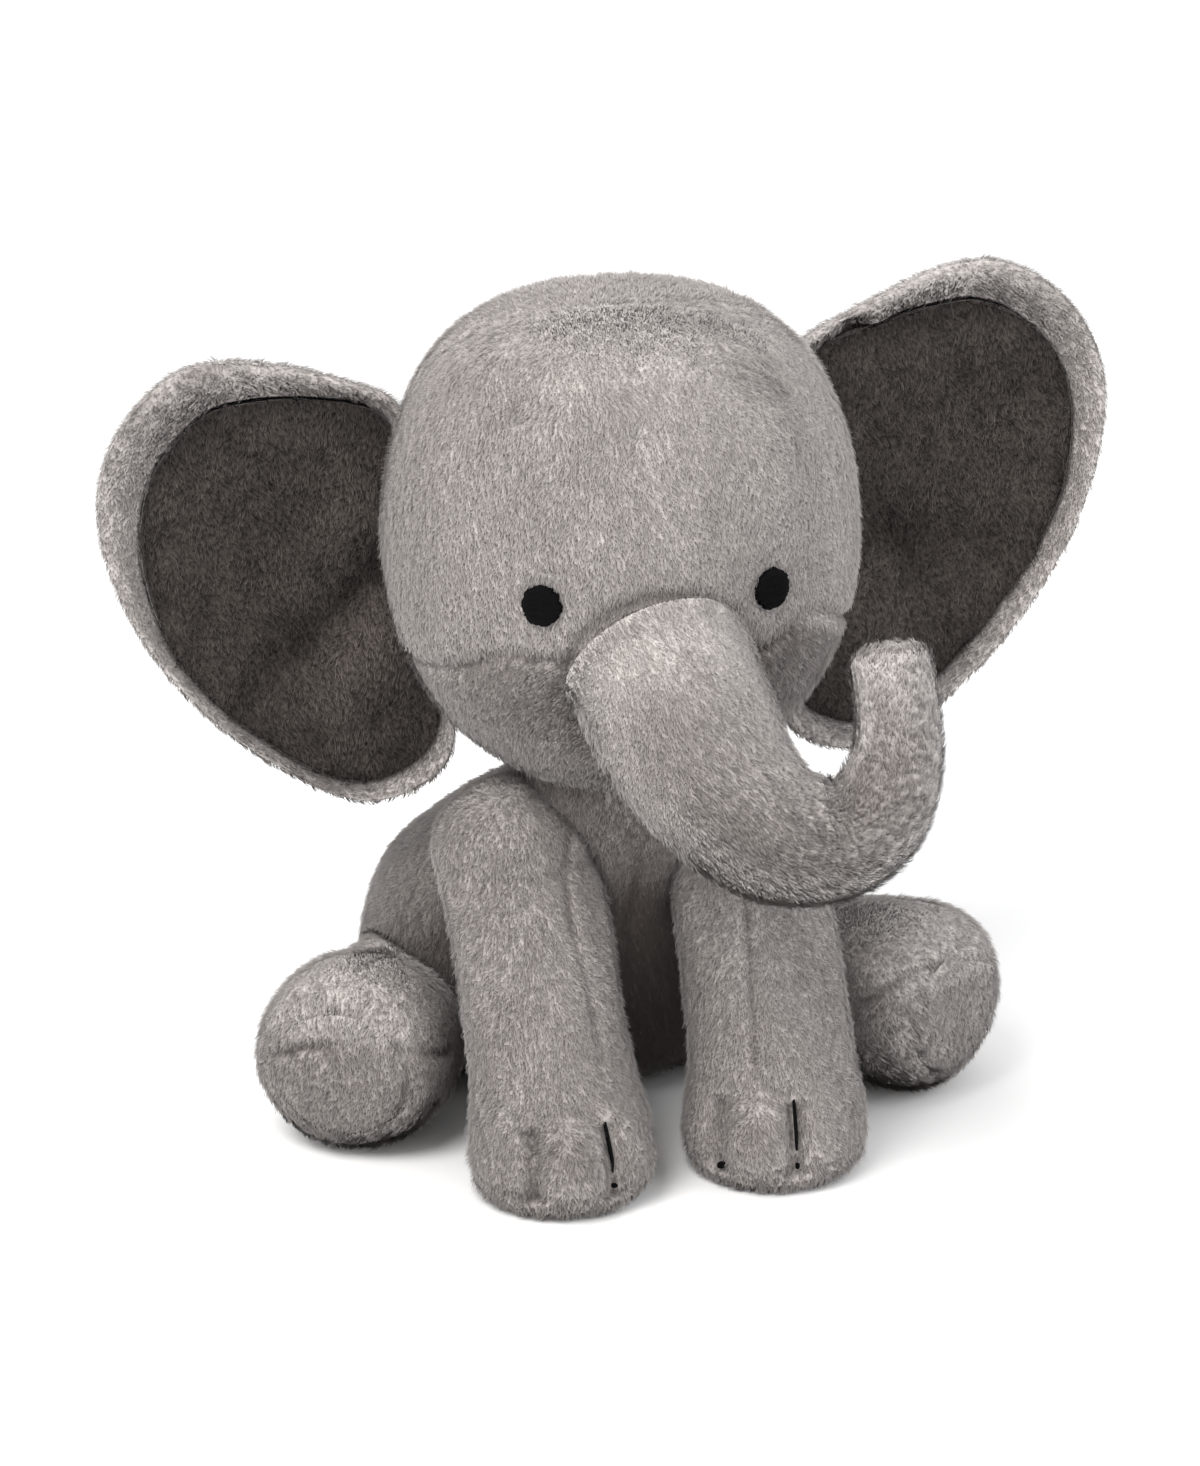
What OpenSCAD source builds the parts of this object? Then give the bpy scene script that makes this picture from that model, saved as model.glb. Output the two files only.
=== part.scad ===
// Seated stuffed elephant, sewn from short-pile fabric panels over fibre stuffing.
// It faces -Y and stands on Z = 0; its own left side is +X.

/* [Fabric] */
// Thickness of the pile fabric
skin = 1.2; // [0.8:0.1:1.4]

/* [Head] */
// Half width of the head
head_half_w = 58.5; // [54:0.5:60]
// Half depth of the head, front to back
head_half_d = 56; // [52:0.5:58]
// Height of the crown above the middle of the head
crown_h = 60; // [58:0.5:62]
// Depth of the chin below the middle of the head
chin_h = 63; // [61:0.5:64]
// Height of the middle of the head above the floor
head_z = 155; // [154:0.5:158]
// Turn of the head away from the body's own front
head_turn = -3; // [-5:0.5:5]
// Sideways lean of the head
head_lean = -0.5; // [-2:0.5:2]
// Diameter of an embroidered eye
eye_d = 10; // [8:0.5:12]
// Angle of each eye from the middle of the face
eye_angle = 29; // [26:0.5:32]
// Turn of the face, its eyes and stitches, away from the middle of the head
face_turn = -2.3; // [-3:0.1:0]
// Height of the eyes above the middle of the head
eye_lift = 1; // [0:0.5:5]

/* [Ears] */
// How far the middle of an ear is dished back
ear_dish = 9; // [5:0.5:12]
// Thickness of a stuffed ear at its rim
ear_t = 9; // [7:0.5:11]
// How far the right ear hangs lower than the left one, turned about its root
right_ear_droop = 6; // [3:1:8]
// Size of the right ear against the left one
right_ear_share = 0.95; // [0.9:0.01:1]
// How far the right ear's root sits lower than the left one's
right_ear_drop = 4; // [0:0.5:6]

/* [Trunk] */
// Radius of the trunk where it leaves the face
trunk_root_r = 22.5; // [20:0.5:23]
// Radius of the trunk at its tip
trunk_tip_r = 10; // [8:0.5:11]

/* [Torso] */
// Half width of the torso at the hips
hip_half_w = 56; // [50:0.5:57]
// Half width of the flat seat
seat_half_w = 38; // [34:0.5:42]

/* [Legs] */
// Radius of a front leg at the shoulder
shoulder_r = 20; // [18:0.5:20.5]
// Half width of a front foot
front_foot_r = 21.5; // [20:0.5:22]
// Radius of a hind leg at the hip
hip_r = 20; // [18:0.5:21]
// Half height of a hind foot
hind_foot_r = 24; // [22:0.5:25]
// Angle that the right hind leg points out from straight ahead
right_hind_splay = 32; // [30:1:38]
// Angle that the left hind leg points out from straight ahead
left_hind_splay = 35; // [32:1:40]
// Length of the left hind leg from the hip to the sole
left_hind_length = 61; // [55:0.5:63]
// Length of the right hind leg from the hip to the sole
right_hind_length = 53; // [50:0.5:60]

/* [Tail] */
// Radius of the tail at its root
tail_r = 4.5; // [4:0.5:5]

/* [Hidden] */

// Fabric colours: the pile lies light on top surfaces and dark where it is brushed against
pile_light = [0.66, 0.63, 0.61];
pile_mid = [0.56, 0.53, 0.52];
pile_dark = [0.36, 0.33, 0.31];
fibre = [0.94, 0.94, 0.92];
thread_black = [0.03, 0.03, 0.03];
pouch_cloth = [0.8, 0.79, 0.74];

left = 1;
right = -1;

// Clearance that every moving piece has in the hollow it sits in
gap = 2.6;

// Shifts the whole toy so that its bounding box stands centred on the origin
origin_shift = [-0.609, 1.19, 0];

// ---------- vectors ----------
function unit(v) = v / norm(v);
function mean(list, k = 0) = k >= len(list) ? [0, 0, 0] : list[k] / len(list) + mean(list, k + 1);

// Row at t (0 to 1) on a smooth curve through the rows of a list
function smooth_row(rows, t) = let(
    last = len(rows) - 1,
    u = t * last,
    i = min(floor(u), last - 1),
    f = u - i,
    a = rows[max(i - 1, 0)],
    b = rows[i],
    c = rows[i + 1],
    d = rows[min(i + 2, last)]
) 0.5 * (2 * b + (c - a) * f + (2 * a - 5 * b + 4 * c - d) * f * f + (3 * b - 3 * c + d - a) * f * f * f);

function smooth_rows(rows, count) = [for (k = [0:count]) smooth_row(rows, k / count)];

// ---------- rings of a stuffed form ----------
// A row is [x, y, z, half width along u, half width along v].
function row_centre(row) = [row[0], row[1], row[2]];

// Rows that close an end as a dome of the given height, from the rim to near the pole
function dome_rows(row, along, height, angles) = [
    for (a = angles) let(c = row_centre(row) + along * height * sin(a))
        [c[0], c[1], c[2], row[3] * cos(a), row[4] * cos(a)]
];

function reversed(list) = [for (k = [len(list) - 1:-1:0]) list[k]];

// One ring of points: u points along "up" as far as the tangent allows
function ring(row, tangent, up, sides) = let(
    u = unit(up - (up * tangent) * tangent),
    v = cross(tangent, u)
) [for (j = [0:sides - 1]) let(a = 360 * j / sides)
    row_centre(row) + u * row[3] * cos(a) + v * row[4] * sin(a)];

// Grid of rings whose planes all face along one axis
function straight_grid(rows, axis, up, sides) = [for (row = rows) ring(row, axis, up, sides)];

// Grid of rings that turn with the path through the rows' centres
function bent_grid(rows, up, sides) = let(last = len(rows) - 1)
    [for (i = [0:last]) let(
        step = row_centre(rows[min(i + 1, last)]) - row_centre(rows[max(i - 1, 0)])
    ) ring(rows[i], unit(step), up, sides)];

// ---------- hollows for neighbours ----------
// An obstacle is [end, end, radius]: a round bar with ball ends.
function bar_distance(p, bar) = let(
    along = bar[1] - bar[0],
    t = norm(along) == 0 ? 0 : max(0, min(1, ((p - bar[0]) * along) / (along * along)))
) norm(p - bar[0] - t * along) - bar[2];

function free_of(p, bars) = min([for (bar = bars) bar_distance(p, bar)]) >= 0;

function tucked_point(p, centre, bars, f = 0) =
    f > 0.9 || free_of(p + f * (centre - p), bars)
        ? p + f * (centre - p)
        : tucked_point(p, centre, bars, f + 0.03);

// Pulls every point of a grid in towards its ring's centre until it is clear of the bars
function tucked_grid(grid, bars) = [for (points = grid) let(centre = mean(points))
    [for (p = points) tucked_point(p, centre, bars)]];

// ---------- surfaces ----------
function grid_normal(grid, i, j) = let(
    last = len(grid) - 1,
    n = len(grid[0]),
    du = grid[min(i + 1, last)][j] - grid[max(i - 1, 0)][j],
    dv = grid[i][(j + 1) % n] - grid[i][(j + n - 1) % n]
) unit(cross(dv, du));

// The same surface moved inward by a distance, and nowhere below a height
function inset_grid(grid, distance, low = 0) = [for (i = [0:len(grid) - 1])
    [for (j = [0:len(grid[0]) - 1]) let(p = grid[i][j] - distance * grid_normal(grid, i, j))
        [p[0], p[1], max(p[2], low)]]];

function flat_list(grid) = [for (points = grid) for (p = points) p];

// Two triangles for one cell, clockwise seen from outside, or from inside when flipped
function cell(a, b, c, d, flip = false) = flip ? [[a, c, b], [a, d, c]] : [[a, b, c], [a, c, d]];

// Triangles over rows x columns of points; a closed grid wraps round
function grid_cells(rows, columns, start, closed, flip = false) = [
    for (i = [0:rows - 2]) for (j = [0:columns - (closed ? 1 : 2)]) let(k = (j + 1) % columns)
        for (triangle = cell(
            start + i * columns + j, start + (i + 1) * columns + j,
            start + (i + 1) * columns + k, start + i * columns + k, flip)) triangle
];

// Triangles over a ring's own disc; the first ring of a grid is seen from below
function disc_cells(columns, start, flip = false) = [
    for (j = [1:columns - 2]) flip
        ? [start, start + j + 1, start + j]
        : [start, start + j, start + j + 1]
];

// Closed solid of a whole grid
module grid_solid(grid) {
    rows = len(grid);
    columns = len(grid[0]);
    polyhedron(flat_list(grid), concat(
        grid_cells(rows, columns, 0, true),
        disc_cells(columns, 0),
        disc_cells(columns, (rows - 1) * columns, true)
    ), convexity = 6);
}

// Fabric panel over part of a grid, skin thick, between two rings and two columns
module side_panel(grid, first_row, last_row, first_column, last_column, low = 0) {
    inner = inset_grid(grid, skin, low);
    n = len(grid[0]);
    rows = last_row - first_row + 1;
    columns = last_column - first_column + 1;
    count = rows * columns;
    function cut(g) = [for (i = [first_row:last_row]) for (j = [first_column:last_column]) g[i][(j + n) % n]];
    polyhedron(concat(cut(grid), cut(inner)), concat(
        grid_cells(rows, columns, 0, false),
        grid_cells(rows, columns, count, false, true),
        [for (j = [0:columns - 2]) for (t = cell(j, j + 1, count + j + 1, count + j)) t],
        [for (j = [0:columns - 2]) let(o = (rows - 1) * columns + j)
            for (t = cell(o, o + 1, count + o + 1, count + o, true)) t],
        [for (i = [0:rows - 2]) let(o = i * columns)
            for (t = cell(o, o + columns, count + o + columns, count + o, true)) t],
        [for (i = [0:rows - 2]) let(o = i * columns + columns - 1)
            for (t = cell(o, o + columns, count + o + columns, count + o)) t]
    ), convexity = 6);
}

// Fabric cup over one end of a grid, skin thick, from that end's disc to an open ring
module end_cup(grid, open_row, at_start) {
    inner = inset_grid(grid, skin);
    columns = len(grid[0]);
    first_row = at_start ? 0 : open_row;
    last_row = at_start ? open_row : len(grid) - 1;
    rows = last_row - first_row + 1;
    count = rows * columns;
    closed_at = at_start ? 0 : (rows - 1) * columns;
    open_at = at_start ? (rows - 1) * columns : 0;
    function cut(g) = [for (i = [first_row:last_row]) for (p = g[i]) p];
    polyhedron(concat(cut(grid), cut(inner)), concat(
        grid_cells(rows, columns, 0, true),
        grid_cells(rows, columns, count, true, true),
        disc_cells(columns, closed_at, !at_start),
        disc_cells(columns, count + closed_at, at_start),
        [for (j = [0:columns - 1]) let(k = (j + 1) % columns, o = open_at)
            for (t = cell(o + j, o + k, count + o + k, count + o + j, at_start)) t]
    ), convexity = 6);
}

// ---------- places ----------
head_y = -6;
head_centre = [0, head_y, head_z];

neck_top_z = 92;
neck_r = 24;
neck_ball_r = 27;
neck_pivot = [0, head_y, 86];

trunk_pivot = [-1, head_y - 49, head_z - 18.5];
// Room round the trunk's root, wide enough for it to tilt
trunk_room = 1.55 * gap;

shoulder_x = 29;
shoulder = [shoulder_x, -10, 74];

hip = [48, 27, hip_r];
tail_root = [0, 86.5, 44];
pouch_base = [0, 50, 8];
pouch_h = 14;
pouch_r = 20;

// Carries what belongs to the head through its turn and lean about the neck
module in_head() {
    translate(origin_shift + neck_pivot) rotate([0, head_lean, head_turn]) translate(-neck_pivot) children();
}

module in_body() {
    translate(origin_shift) children();
}

// Mirrors a left-hand form to the right side
module on_side(side) {
    if (side == left) children();
    else mirror([1, 0, 0]) children();
}

// ---------- head ----------
head_sides = 32;
head_quarter = head_sides / 4;
head_ring_angles = [-62, -54, -46, -38, -31, -24, -17, -10, -3, 4, 12, 22, 34, 46, 59, 71, 81, 87, 89.5];
neck_hollow_angles = [84, 66, 48, 31];
// Rings of the head's rim, of the seam that runs under the eyes, and of the crown's middle
head_rim_row = len(neck_hollow_angles);
head_seam_row = head_rim_row + 7;
head_top_row = head_rim_row + len(head_ring_angles) - 1;

// Hollow under the head that the neck's ball turns in, from its middle out to the rim
function neck_hollow_rows() = [for (a = neck_hollow_angles)
    [0, head_y, neck_pivot[2] + (neck_ball_r + 0.6) * sin(a),
     (neck_ball_r + 0.6) * cos(a), (neck_ball_r + 0.6) * cos(a)]];

// The crown is squarer than the chin
function head_share(a) = pow(cos(a), a > 0 ? 0.52 : 0.85);

function head_rows() = concat(neck_hollow_rows(), [for (a = head_ring_angles) [
    0, head_y, head_z + (a > 0 ? crown_h : chin_h) * sin(a),
    head_half_w * head_share(a), head_half_d * head_share(a)]]);

function head_grid() = tucked_grid(
    straight_grid(head_rows(), [0, 0, 1], [1, 0, 0], head_sides),
    [[trunk_pivot, trunk_pivot, trunk_root_r + trunk_room]]);

// Columns run from +X (0) over +Y, -X and -Y, a quarter of them each. The side seams lie one
// column behind the ears' roots.
module head_front_panel() {
    color(pile_light) in_head()
        side_panel(head_grid(), head_seam_row, head_top_row, 2 * head_quarter - 1, 4 * head_quarter + 1);
}

module head_back_panel(side) {
    color(pile_mid) in_head() side_panel(head_grid(), head_rim_row, head_top_row,
        side == left ? 1 : head_quarter, side == left ? head_quarter : 2 * head_quarter - 1);
}

module cheek_panel(side) {
    color(pile_mid) in_head() side_panel(head_grid(), head_rim_row, head_seam_row,
        side == left ? 3 * head_quarter : 2 * head_quarter - 1,
        side == left ? 4 * head_quarter + 1 : 3 * head_quarter);
}

module head_stuffing() {
    color(fibre) in_head() grid_solid(inset_grid(head_grid(), skin));
}

module eye(side) {
    a = side * eye_angle + face_turn;
    off_skin = 0.1;
    color(thread_black) in_head()
        translate([sin(a) * head_half_w, head_y - cos(a) * head_half_d, head_z + eye_lift])
            rotate([90, 0, a]) translate([0, 0, off_skin]) cylinder(h = 1.2, d = eye_d, $fn = 48);
}

// ---------- trunk ----------
trunk_sides = 16;

// From the face down, across to the left and up to the blunt tip
function trunk_path() = let(p = trunk_pivot, r = trunk_root_r, e = trunk_tip_r) [
    [p[0], p[1], p[2], r, r],
    [2, -70, 127, r - 1, r - 1],
    [9, -80, 115, r - 3.5, r - 3.5],
    [19, -85, 106, e + 7.5, e + 7.5],
    [32, -86, 103, e + 5.5, e + 5.5],
    [43, -86, 108, e + 3.5, e + 3.5],
    [49, -84, 120, e + 1.5, e + 1.5],
    [50, -81, 132, e + 0.5, e + 0.5],
    [49, -78, 143, e, e]
];

function trunk_rows() = let(path = trunk_path(), last = len(path) - 1) concat(
    reversed(dome_rows(path[0], unit(row_centre(path[0]) - row_centre(path[1])), trunk_root_r, [20, 45, 65, 82])),
    smooth_rows(path, 14),
    dome_rows(path[last], unit(row_centre(path[last]) - row_centre(path[last - 1])), 4, [35, 65]));

function trunk_grid() = bent_grid(trunk_rows(), [0, -1, 0.35], trunk_sides);

module trunk_upper_panel() {
    color(pile_light) in_head() side_panel(trunk_grid(), 3, len(trunk_rows()) - 2, -4, 4);
}

module trunk_under_panel() {
    color(pile_mid) in_head() side_panel(trunk_grid(), 3, len(trunk_rows()) - 2, 4, 12);
}

module trunk_stuffing() {
    color(fibre) in_head() grid_solid(inset_grid(trunk_grid(), skin));
}

// ---------- ears ----------
ear_sides = 24;
ear_y = head_y + 14;

// Outline of the left ear as [x, height above the head's middle], from the root's top down
// its root, then up round the rim
ear_outline = [
    [56, 37], [63, 8], [58, -20], [48, -42], [52, -61], [72, -65], [96, -47],
    [117, -22], [127, 6], [127, 30], [115, 50], [94, 59], [71, 53]
];
ear_middle = [88, 1];
ear_root = [60, -3];

function closed_row(rows, t) = let(
    n = len(rows),
    u = t * n,
    i = floor(u),
    four = [for (k = [-1:2]) rows[(i + k + n) % n]]
) smooth_row(four, (1 + u - i) / 3);

function turned(p, about, angle) = let(d = p - about)
    about + [d[0] * cos(angle) - d[1] * sin(angle), d[0] * sin(angle) + d[1] * cos(angle)];

// One ring of the ear: a share of its outline, lifted in front of the ear's middle sheet
function ear_ring(share, lift, size, droop, drop) = [for (j = [0:ear_sides - 1]) let(
    edge = closed_row(ear_outline, j / ear_sides),
    open = ear_root + size * (ear_middle + share * (edge - ear_middle) - ear_root),
    p = turned(open, ear_root, -droop),
    dish = ear_dish * (1 - share * share)
) [p[0], ear_y + dish - lift, head_z - drop + p[1]]];

ear_half_t = ear_t / 2;
ear_profile = [
    [0.08, -0.6], [0.35, -0.66], [0.62, -0.75], [0.84, -0.9], [0.95, -0.75],
    [1, 0], [0.96, 0.7], [0.87, 0.95], [0.8, 0.72], [0.6, 0.62], [0.35, 0.55], [0.08, 0.5]
];
ear_lining_row = 8;

function ear_grid(side) = [for (row = ear_profile) side == left
    ? ear_ring(row[0], row[1] * ear_half_t, 1, 0, 0)
    : ear_ring(row[0], row[1] * ear_half_t, right_ear_share, right_ear_droop, right_ear_drop)];

module ear_shell(side) {
    color(pile_light) in_head() on_side(side) end_cup(ear_grid(side), ear_lining_row, true);
}

module ear_lining(side) {
    color(pile_dark) in_head() on_side(side) end_cup(ear_grid(side), ear_lining_row, false);
}

module ear_padding(side) {
    color(fibre) in_head() on_side(side) grid_solid(inset_grid(ear_grid(side), skin));
}

// ---------- neck ----------
module neck_stuffing() {
    color(fibre) in_body() intersection() {
        translate(neck_pivot) sphere(r = neck_ball_r, $fn = 64);
        translate([0, head_y, neck_top_z + 1.6]) cylinder(h = 30, r = neck_r, $fn = 64);
    }
}

// ---------- torso ----------
torso_sides = 40;
torso_rings = 18;
// Thickness of the seat's fabric, which the rest of the torso stands on
gusset_t = 1.2;

// Horizontal sections from the seat up to the neck
function torso_path() = let(w = hip_half_w, s = seat_half_w) [
    [0, 44, gusset_t, s, s - 3],
    [0, 43, 4, s + 7, s + 3],
    [0, 41, 12, w - 3, w - 8],
    [0, 38, 26, w, w - 6],
    [0, 33, 42, w - 1, w - 7],
    [0, 26, 58, w - 6, w - 11],
    [0, 14, 72, w - 15, w - 18],
    [0, 2, 84, w - 24, w - 26],
    [0, -5, neck_top_z, neck_r + 3, neck_r + 1]
];

function leg_bars() = [for (side = [left, right]) for (bar = [
    [shoulder, [shoulder_x - 0.5, -22, 62], shoulder_r + 2 * gap],
    [[shoulder_x - 0.5, -22, 62], [shoulder_x - 1, -43, 28], shoulder_r + 2 * gap],
    for (swing = [-8, 0, 12]) let(a = hind_splay(side) + swing)
        [hip, hip + 50 * [sin(a), -cos(a), 0.03], hip_r + 2 * gap]
]) [[side * bar[0][0], bar[0][1], bar[0][2]], [side * bar[1][0], bar[1][1], bar[1][2]], bar[2]]];

function torso_grid() = tucked_grid(
    straight_grid(smooth_rows(torso_path(), torso_rings), [0, 0, 1], [1, 0, 0], torso_sides), leg_bars());

// Columns run from +X (0) over +Y (10) to -X (20) and over -Y (30) back to +X (40).
module belly_panel(side) {
    color(pile_mid) in_body()
        side_panel(torso_grid(), 0, torso_rings, side == left ? 30 : 21, side == left ? 39 : 30, gusset_t);
}

module back_panel(side) {
    color(pile_mid) in_body()
        side_panel(torso_grid(), 0, torso_rings, side == left ? -1 : 10, side == left ? 10 : 21, gusset_t);
}

module torso_stuffing() {
    color(fibre) in_body() difference() {
        grid_solid(inset_grid(torso_grid(), skin, gusset_t));
        translate(pouch_base) cylinder(h = pouch_h, r = pouch_r, $fn = 48);
    }
}

module seat_gusset() {
    s = seat_half_w;
    color(pile_mid) in_body() translate([0, 44, 0]) linear_extrude(gusset_t)
        polygon([for (j = [0:47]) let(a = 360 * j / 48) [s * cos(a), (s - 3) * sin(a)]]);
}

// The pouch lies in its hollow with a little air round it
module pellet_pouch() {
    air = 0.3;
    color(pouch_cloth) in_body() translate(pouch_base + [0, 0, air])
        cylinder(h = pouch_h - 2 * air, r = pouch_r - air, $fn = 48);
}

// ---------- front legs ----------
leg_sides = 16;

// Horizontal sections from the sole up to the shoulder
function front_leg_path() = let(f = front_foot_r, s = shoulder_r, x = shoulder_x) [
    [x - 1.5, -48, 0, f - 5, f - 4],
    [x - 1.5, -48, 1.5, f - 2, f - 1],
    [x - 1.5, -48, 6, f, f + 1.5],
    [x - 1.5, -47, 15, f, f + 1.5],
    [x - 1, -43, 28, s, s + 1],
    [x - 0.5, -33, 46, s - 0.5, s],
    [x - 0.5, -22, 62, s - 0.5, s],
    [x, -10, shoulder[2], s, s]
];
front_sole_row = 3;

function front_leg_rows() = let(path = front_leg_path()) concat(
    [for (k = [0:3]) path[k]],
    [for (k = [1:8]) smooth_row(path, (3 + k / 2) / 7)],
    dome_rows(path[7], [0, 0, 1], shoulder_r, [25, 47, 66, 82]));

function front_leg_grid() = straight_grid(front_leg_rows(), [0, 0, 1], [0, -1, 0], leg_sides);

// Columns run from -Y (0) over +X (4) to +Y (8) and over -X (12) back to -Y (16).
module front_leg_side(side, outer) {
    color(outer ? pile_light : pile_mid) in_body() on_side(side)
        side_panel(front_leg_grid(), front_sole_row - 1, len(front_leg_rows()) - 1, outer ? 0 : 8, outer ? 8 : 16);
}

module front_leg_sole(side) {
    color(pile_dark) in_body() on_side(side) end_cup(front_leg_grid(), front_sole_row - 1, true);
}

module front_leg_stuffing(side) {
    color(fibre) in_body() on_side(side) grid_solid(inset_grid(front_leg_grid(), skin));
}

// Two threads pull the foot in, so that three toes show. Each foot points a little inward.
toe_angle = 27;
function toe_turn(side) = side == left ? -28 : 5;

module toe_stitches(side) {
    thread_r = 0.7;
    off_skin = 0.5;
    lean = 13.5;
    color(thread_black) in_body() on_side(side) for (out = [left, right])
        let(a = toe_turn(side) + out * toe_angle, foot_r = front_foot_r + 1.5 * sin(a) * sin(a))
            translate([shoulder_x - 1.5, -48, 9]) rotate([0, 0, a]) translate([0, -foot_r - thread_r - off_skin, 0])
                rotate([-lean * cos(a), 0, 0]) cylinder(h = 14, r = thread_r, $fn = 24);
}

// ---------- hind legs ----------
function hind_splay(side) = side == left ? left_hind_splay : right_hind_splay;
function hind_length(side) = side == left ? left_hind_length : right_hind_length;
function hind_along(side) = [sin(hind_splay(side)), -cos(hind_splay(side)), 0];

// Sections across the leg from the hip out to the sole, as [distance from the hip or back from
// the sole, centre height, half height, half width]
hind_leg_sections = let(low = 0.2, h = hip_r, f = hind_foot_r) [
    [0, h + low, h, h],
    [14, h + low + 0.5, h + 0.5, h + 1.5],
    [-23, f + low - 0.5, f - 0.5, f + 0.5],
    [-11, f + low, f, f + 1],
    [-3.5, f + low, f - 2.5, f - 1.5],
    [0, f + low, f - 7, f - 6]
];

function hind_leg_path(side) = [for (k = [0:5]) let(
    s = hind_leg_sections[k],
    c = hip + (s[0] + (k < 2 ? 0 : hind_length(side))) * hind_along(side)
) [c[0], c[1], s[1], s[2], s[3]]];

function hind_leg_rows(side) = let(path = hind_leg_path(side)) concat(
    reversed(dome_rows(path[0], -hind_along(side), hip_r, [25, 47, 66, 82])),
    [for (k = [0:6]) smooth_row(path, k / 2 / 5)],
    [path[4], path[5]]);

function hind_leg_grid(side) = straight_grid(hind_leg_rows(side), hind_along(side), [0, 0, 1], leg_sides);

hind_sole_row = 10;

// Columns run from the top (0) over the outer side (12) and the bottom (8); 4 is the inner side.
module hind_leg_side(side, outer) {
    color(outer ? pile_light : pile_mid) in_body() on_side(side)
        side_panel(hind_leg_grid(side), 0, hind_sole_row, outer ? 8 : 0, outer ? 16 : 8);
}

module hind_leg_sole(side) {
    color(pile_dark) in_body() on_side(side) end_cup(hind_leg_grid(side), hind_sole_row, false);
}

module hind_leg_stuffing(side) {
    color(fibre) in_body() on_side(side) grid_solid(inset_grid(hind_leg_grid(side), skin));
}

// ---------- tail ----------
tail_sides = 10;

function tail_path() = let(p = tail_root, r = tail_r) [
    [p[0], p[1], p[2], r, r],
    [p[0], p[1] + 5, p[2] - 5, r, r],
    [p[0], p[1] + 9, p[2] - 15, r - 0.3, r - 0.3],
    [p[0], p[1] + 10.5, p[2] - 27, r - 0.3, r - 0.3]
];

function tail_rows() = let(path = tail_path()) concat(
    [for (row = smooth_rows(path, 6)) row],
    dome_rows(path[3], [0, 0, -1], tail_r, [35, 65]));

function tail_grid() = bent_grid(tail_rows(), [1, 0, 0], tail_sides);

module tail_tube() {
    color(pile_mid) in_body() end_cup(tail_grid(), 0, false);
}

module tail_stuffing() {
    color(fibre) in_body() grid_solid(inset_grid(tail_grid(), skin));
}

head_front_panel();
head_back_panel(left);  // head_back_panel_left
head_back_panel(right);  // head_back_panel_right
cheek_panel(left);  // cheek_panel_left
cheek_panel(right);  // cheek_panel_right
head_stuffing();
eye(left);  // eye_left
eye(right);  // eye_right
trunk_upper_panel();
trunk_under_panel();
trunk_stuffing();
ear_shell(left);  // ear_shell_left
ear_lining(left);  // ear_lining_left
ear_padding(left);  // ear_padding_left
ear_shell(right);  // ear_shell_right
ear_lining(right);  // ear_lining_right
ear_padding(right);  // ear_padding_right
neck_stuffing();
belly_panel(left);  // belly_panel_left
belly_panel(right);  // belly_panel_right
back_panel(left);  // back_panel_left
back_panel(right);  // back_panel_right
seat_gusset();
torso_stuffing();
pellet_pouch();
front_leg_side(left, true);  // front_leg_left_outer
front_leg_side(left, false);  // front_leg_left_inner
front_leg_sole(left);  // front_leg_left_sole
front_leg_stuffing(left);  // front_leg_left_stuffing
toe_stitches(left);  // front_leg_left_toe_stitches
front_leg_side(right, true);  // front_leg_right_outer
front_leg_side(right, false);  // front_leg_right_inner
front_leg_sole(right);  // front_leg_right_sole
front_leg_stuffing(right);  // front_leg_right_stuffing
toe_stitches(right);  // front_leg_right_toe_stitches
hind_leg_side(left, true);  // hind_leg_left_outer
hind_leg_side(left, false);  // hind_leg_left_inner
hind_leg_sole(left);  // hind_leg_left_sole
hind_leg_stuffing(left);  // hind_leg_left_stuffing
hind_leg_side(right, true);  // hind_leg_right_outer
hind_leg_side(right, false);  // hind_leg_right_inner
hind_leg_sole(right);  // hind_leg_right_sole
hind_leg_stuffing(right);  // hind_leg_right_stuffing
tail_tube();
tail_stuffing();
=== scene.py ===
"""Seated stuffed elephant: soft pieces, pile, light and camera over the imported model.

Lengths in this file are millimetres in the toy's own sewing frame, where the seat's middle is at
(0, 44). place_body and place_head carry them into the model's frame in metres.
"""

import math

import bpy
import numpy as np
from mathutils import Matrix, Vector


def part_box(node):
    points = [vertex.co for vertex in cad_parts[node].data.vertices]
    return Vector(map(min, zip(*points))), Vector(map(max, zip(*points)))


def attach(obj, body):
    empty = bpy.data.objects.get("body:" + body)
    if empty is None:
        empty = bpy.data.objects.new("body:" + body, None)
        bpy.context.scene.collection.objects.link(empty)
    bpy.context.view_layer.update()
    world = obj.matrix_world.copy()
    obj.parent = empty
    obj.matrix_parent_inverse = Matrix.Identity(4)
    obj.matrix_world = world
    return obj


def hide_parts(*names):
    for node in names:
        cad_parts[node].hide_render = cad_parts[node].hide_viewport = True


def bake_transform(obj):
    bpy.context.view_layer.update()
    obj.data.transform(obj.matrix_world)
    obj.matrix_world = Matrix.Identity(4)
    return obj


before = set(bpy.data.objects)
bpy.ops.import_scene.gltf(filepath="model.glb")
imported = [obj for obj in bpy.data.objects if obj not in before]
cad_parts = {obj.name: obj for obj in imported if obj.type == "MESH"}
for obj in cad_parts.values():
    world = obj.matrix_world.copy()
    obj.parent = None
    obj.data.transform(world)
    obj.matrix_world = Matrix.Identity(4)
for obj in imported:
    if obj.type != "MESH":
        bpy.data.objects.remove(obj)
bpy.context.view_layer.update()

# ---- frame of the toy
MM = 0.001
SEAT_MIDDLE = np.array([0.0, 44.0, 0.0])
NECK = np.array([0.0, -6.0, 86.0])
HEAD_TURN, HEAD_LEAN = math.radians(-3), math.radians(-0.5)
SIGN = {"left": 1, "right": -1}  # of X on each side of the toy

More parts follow.
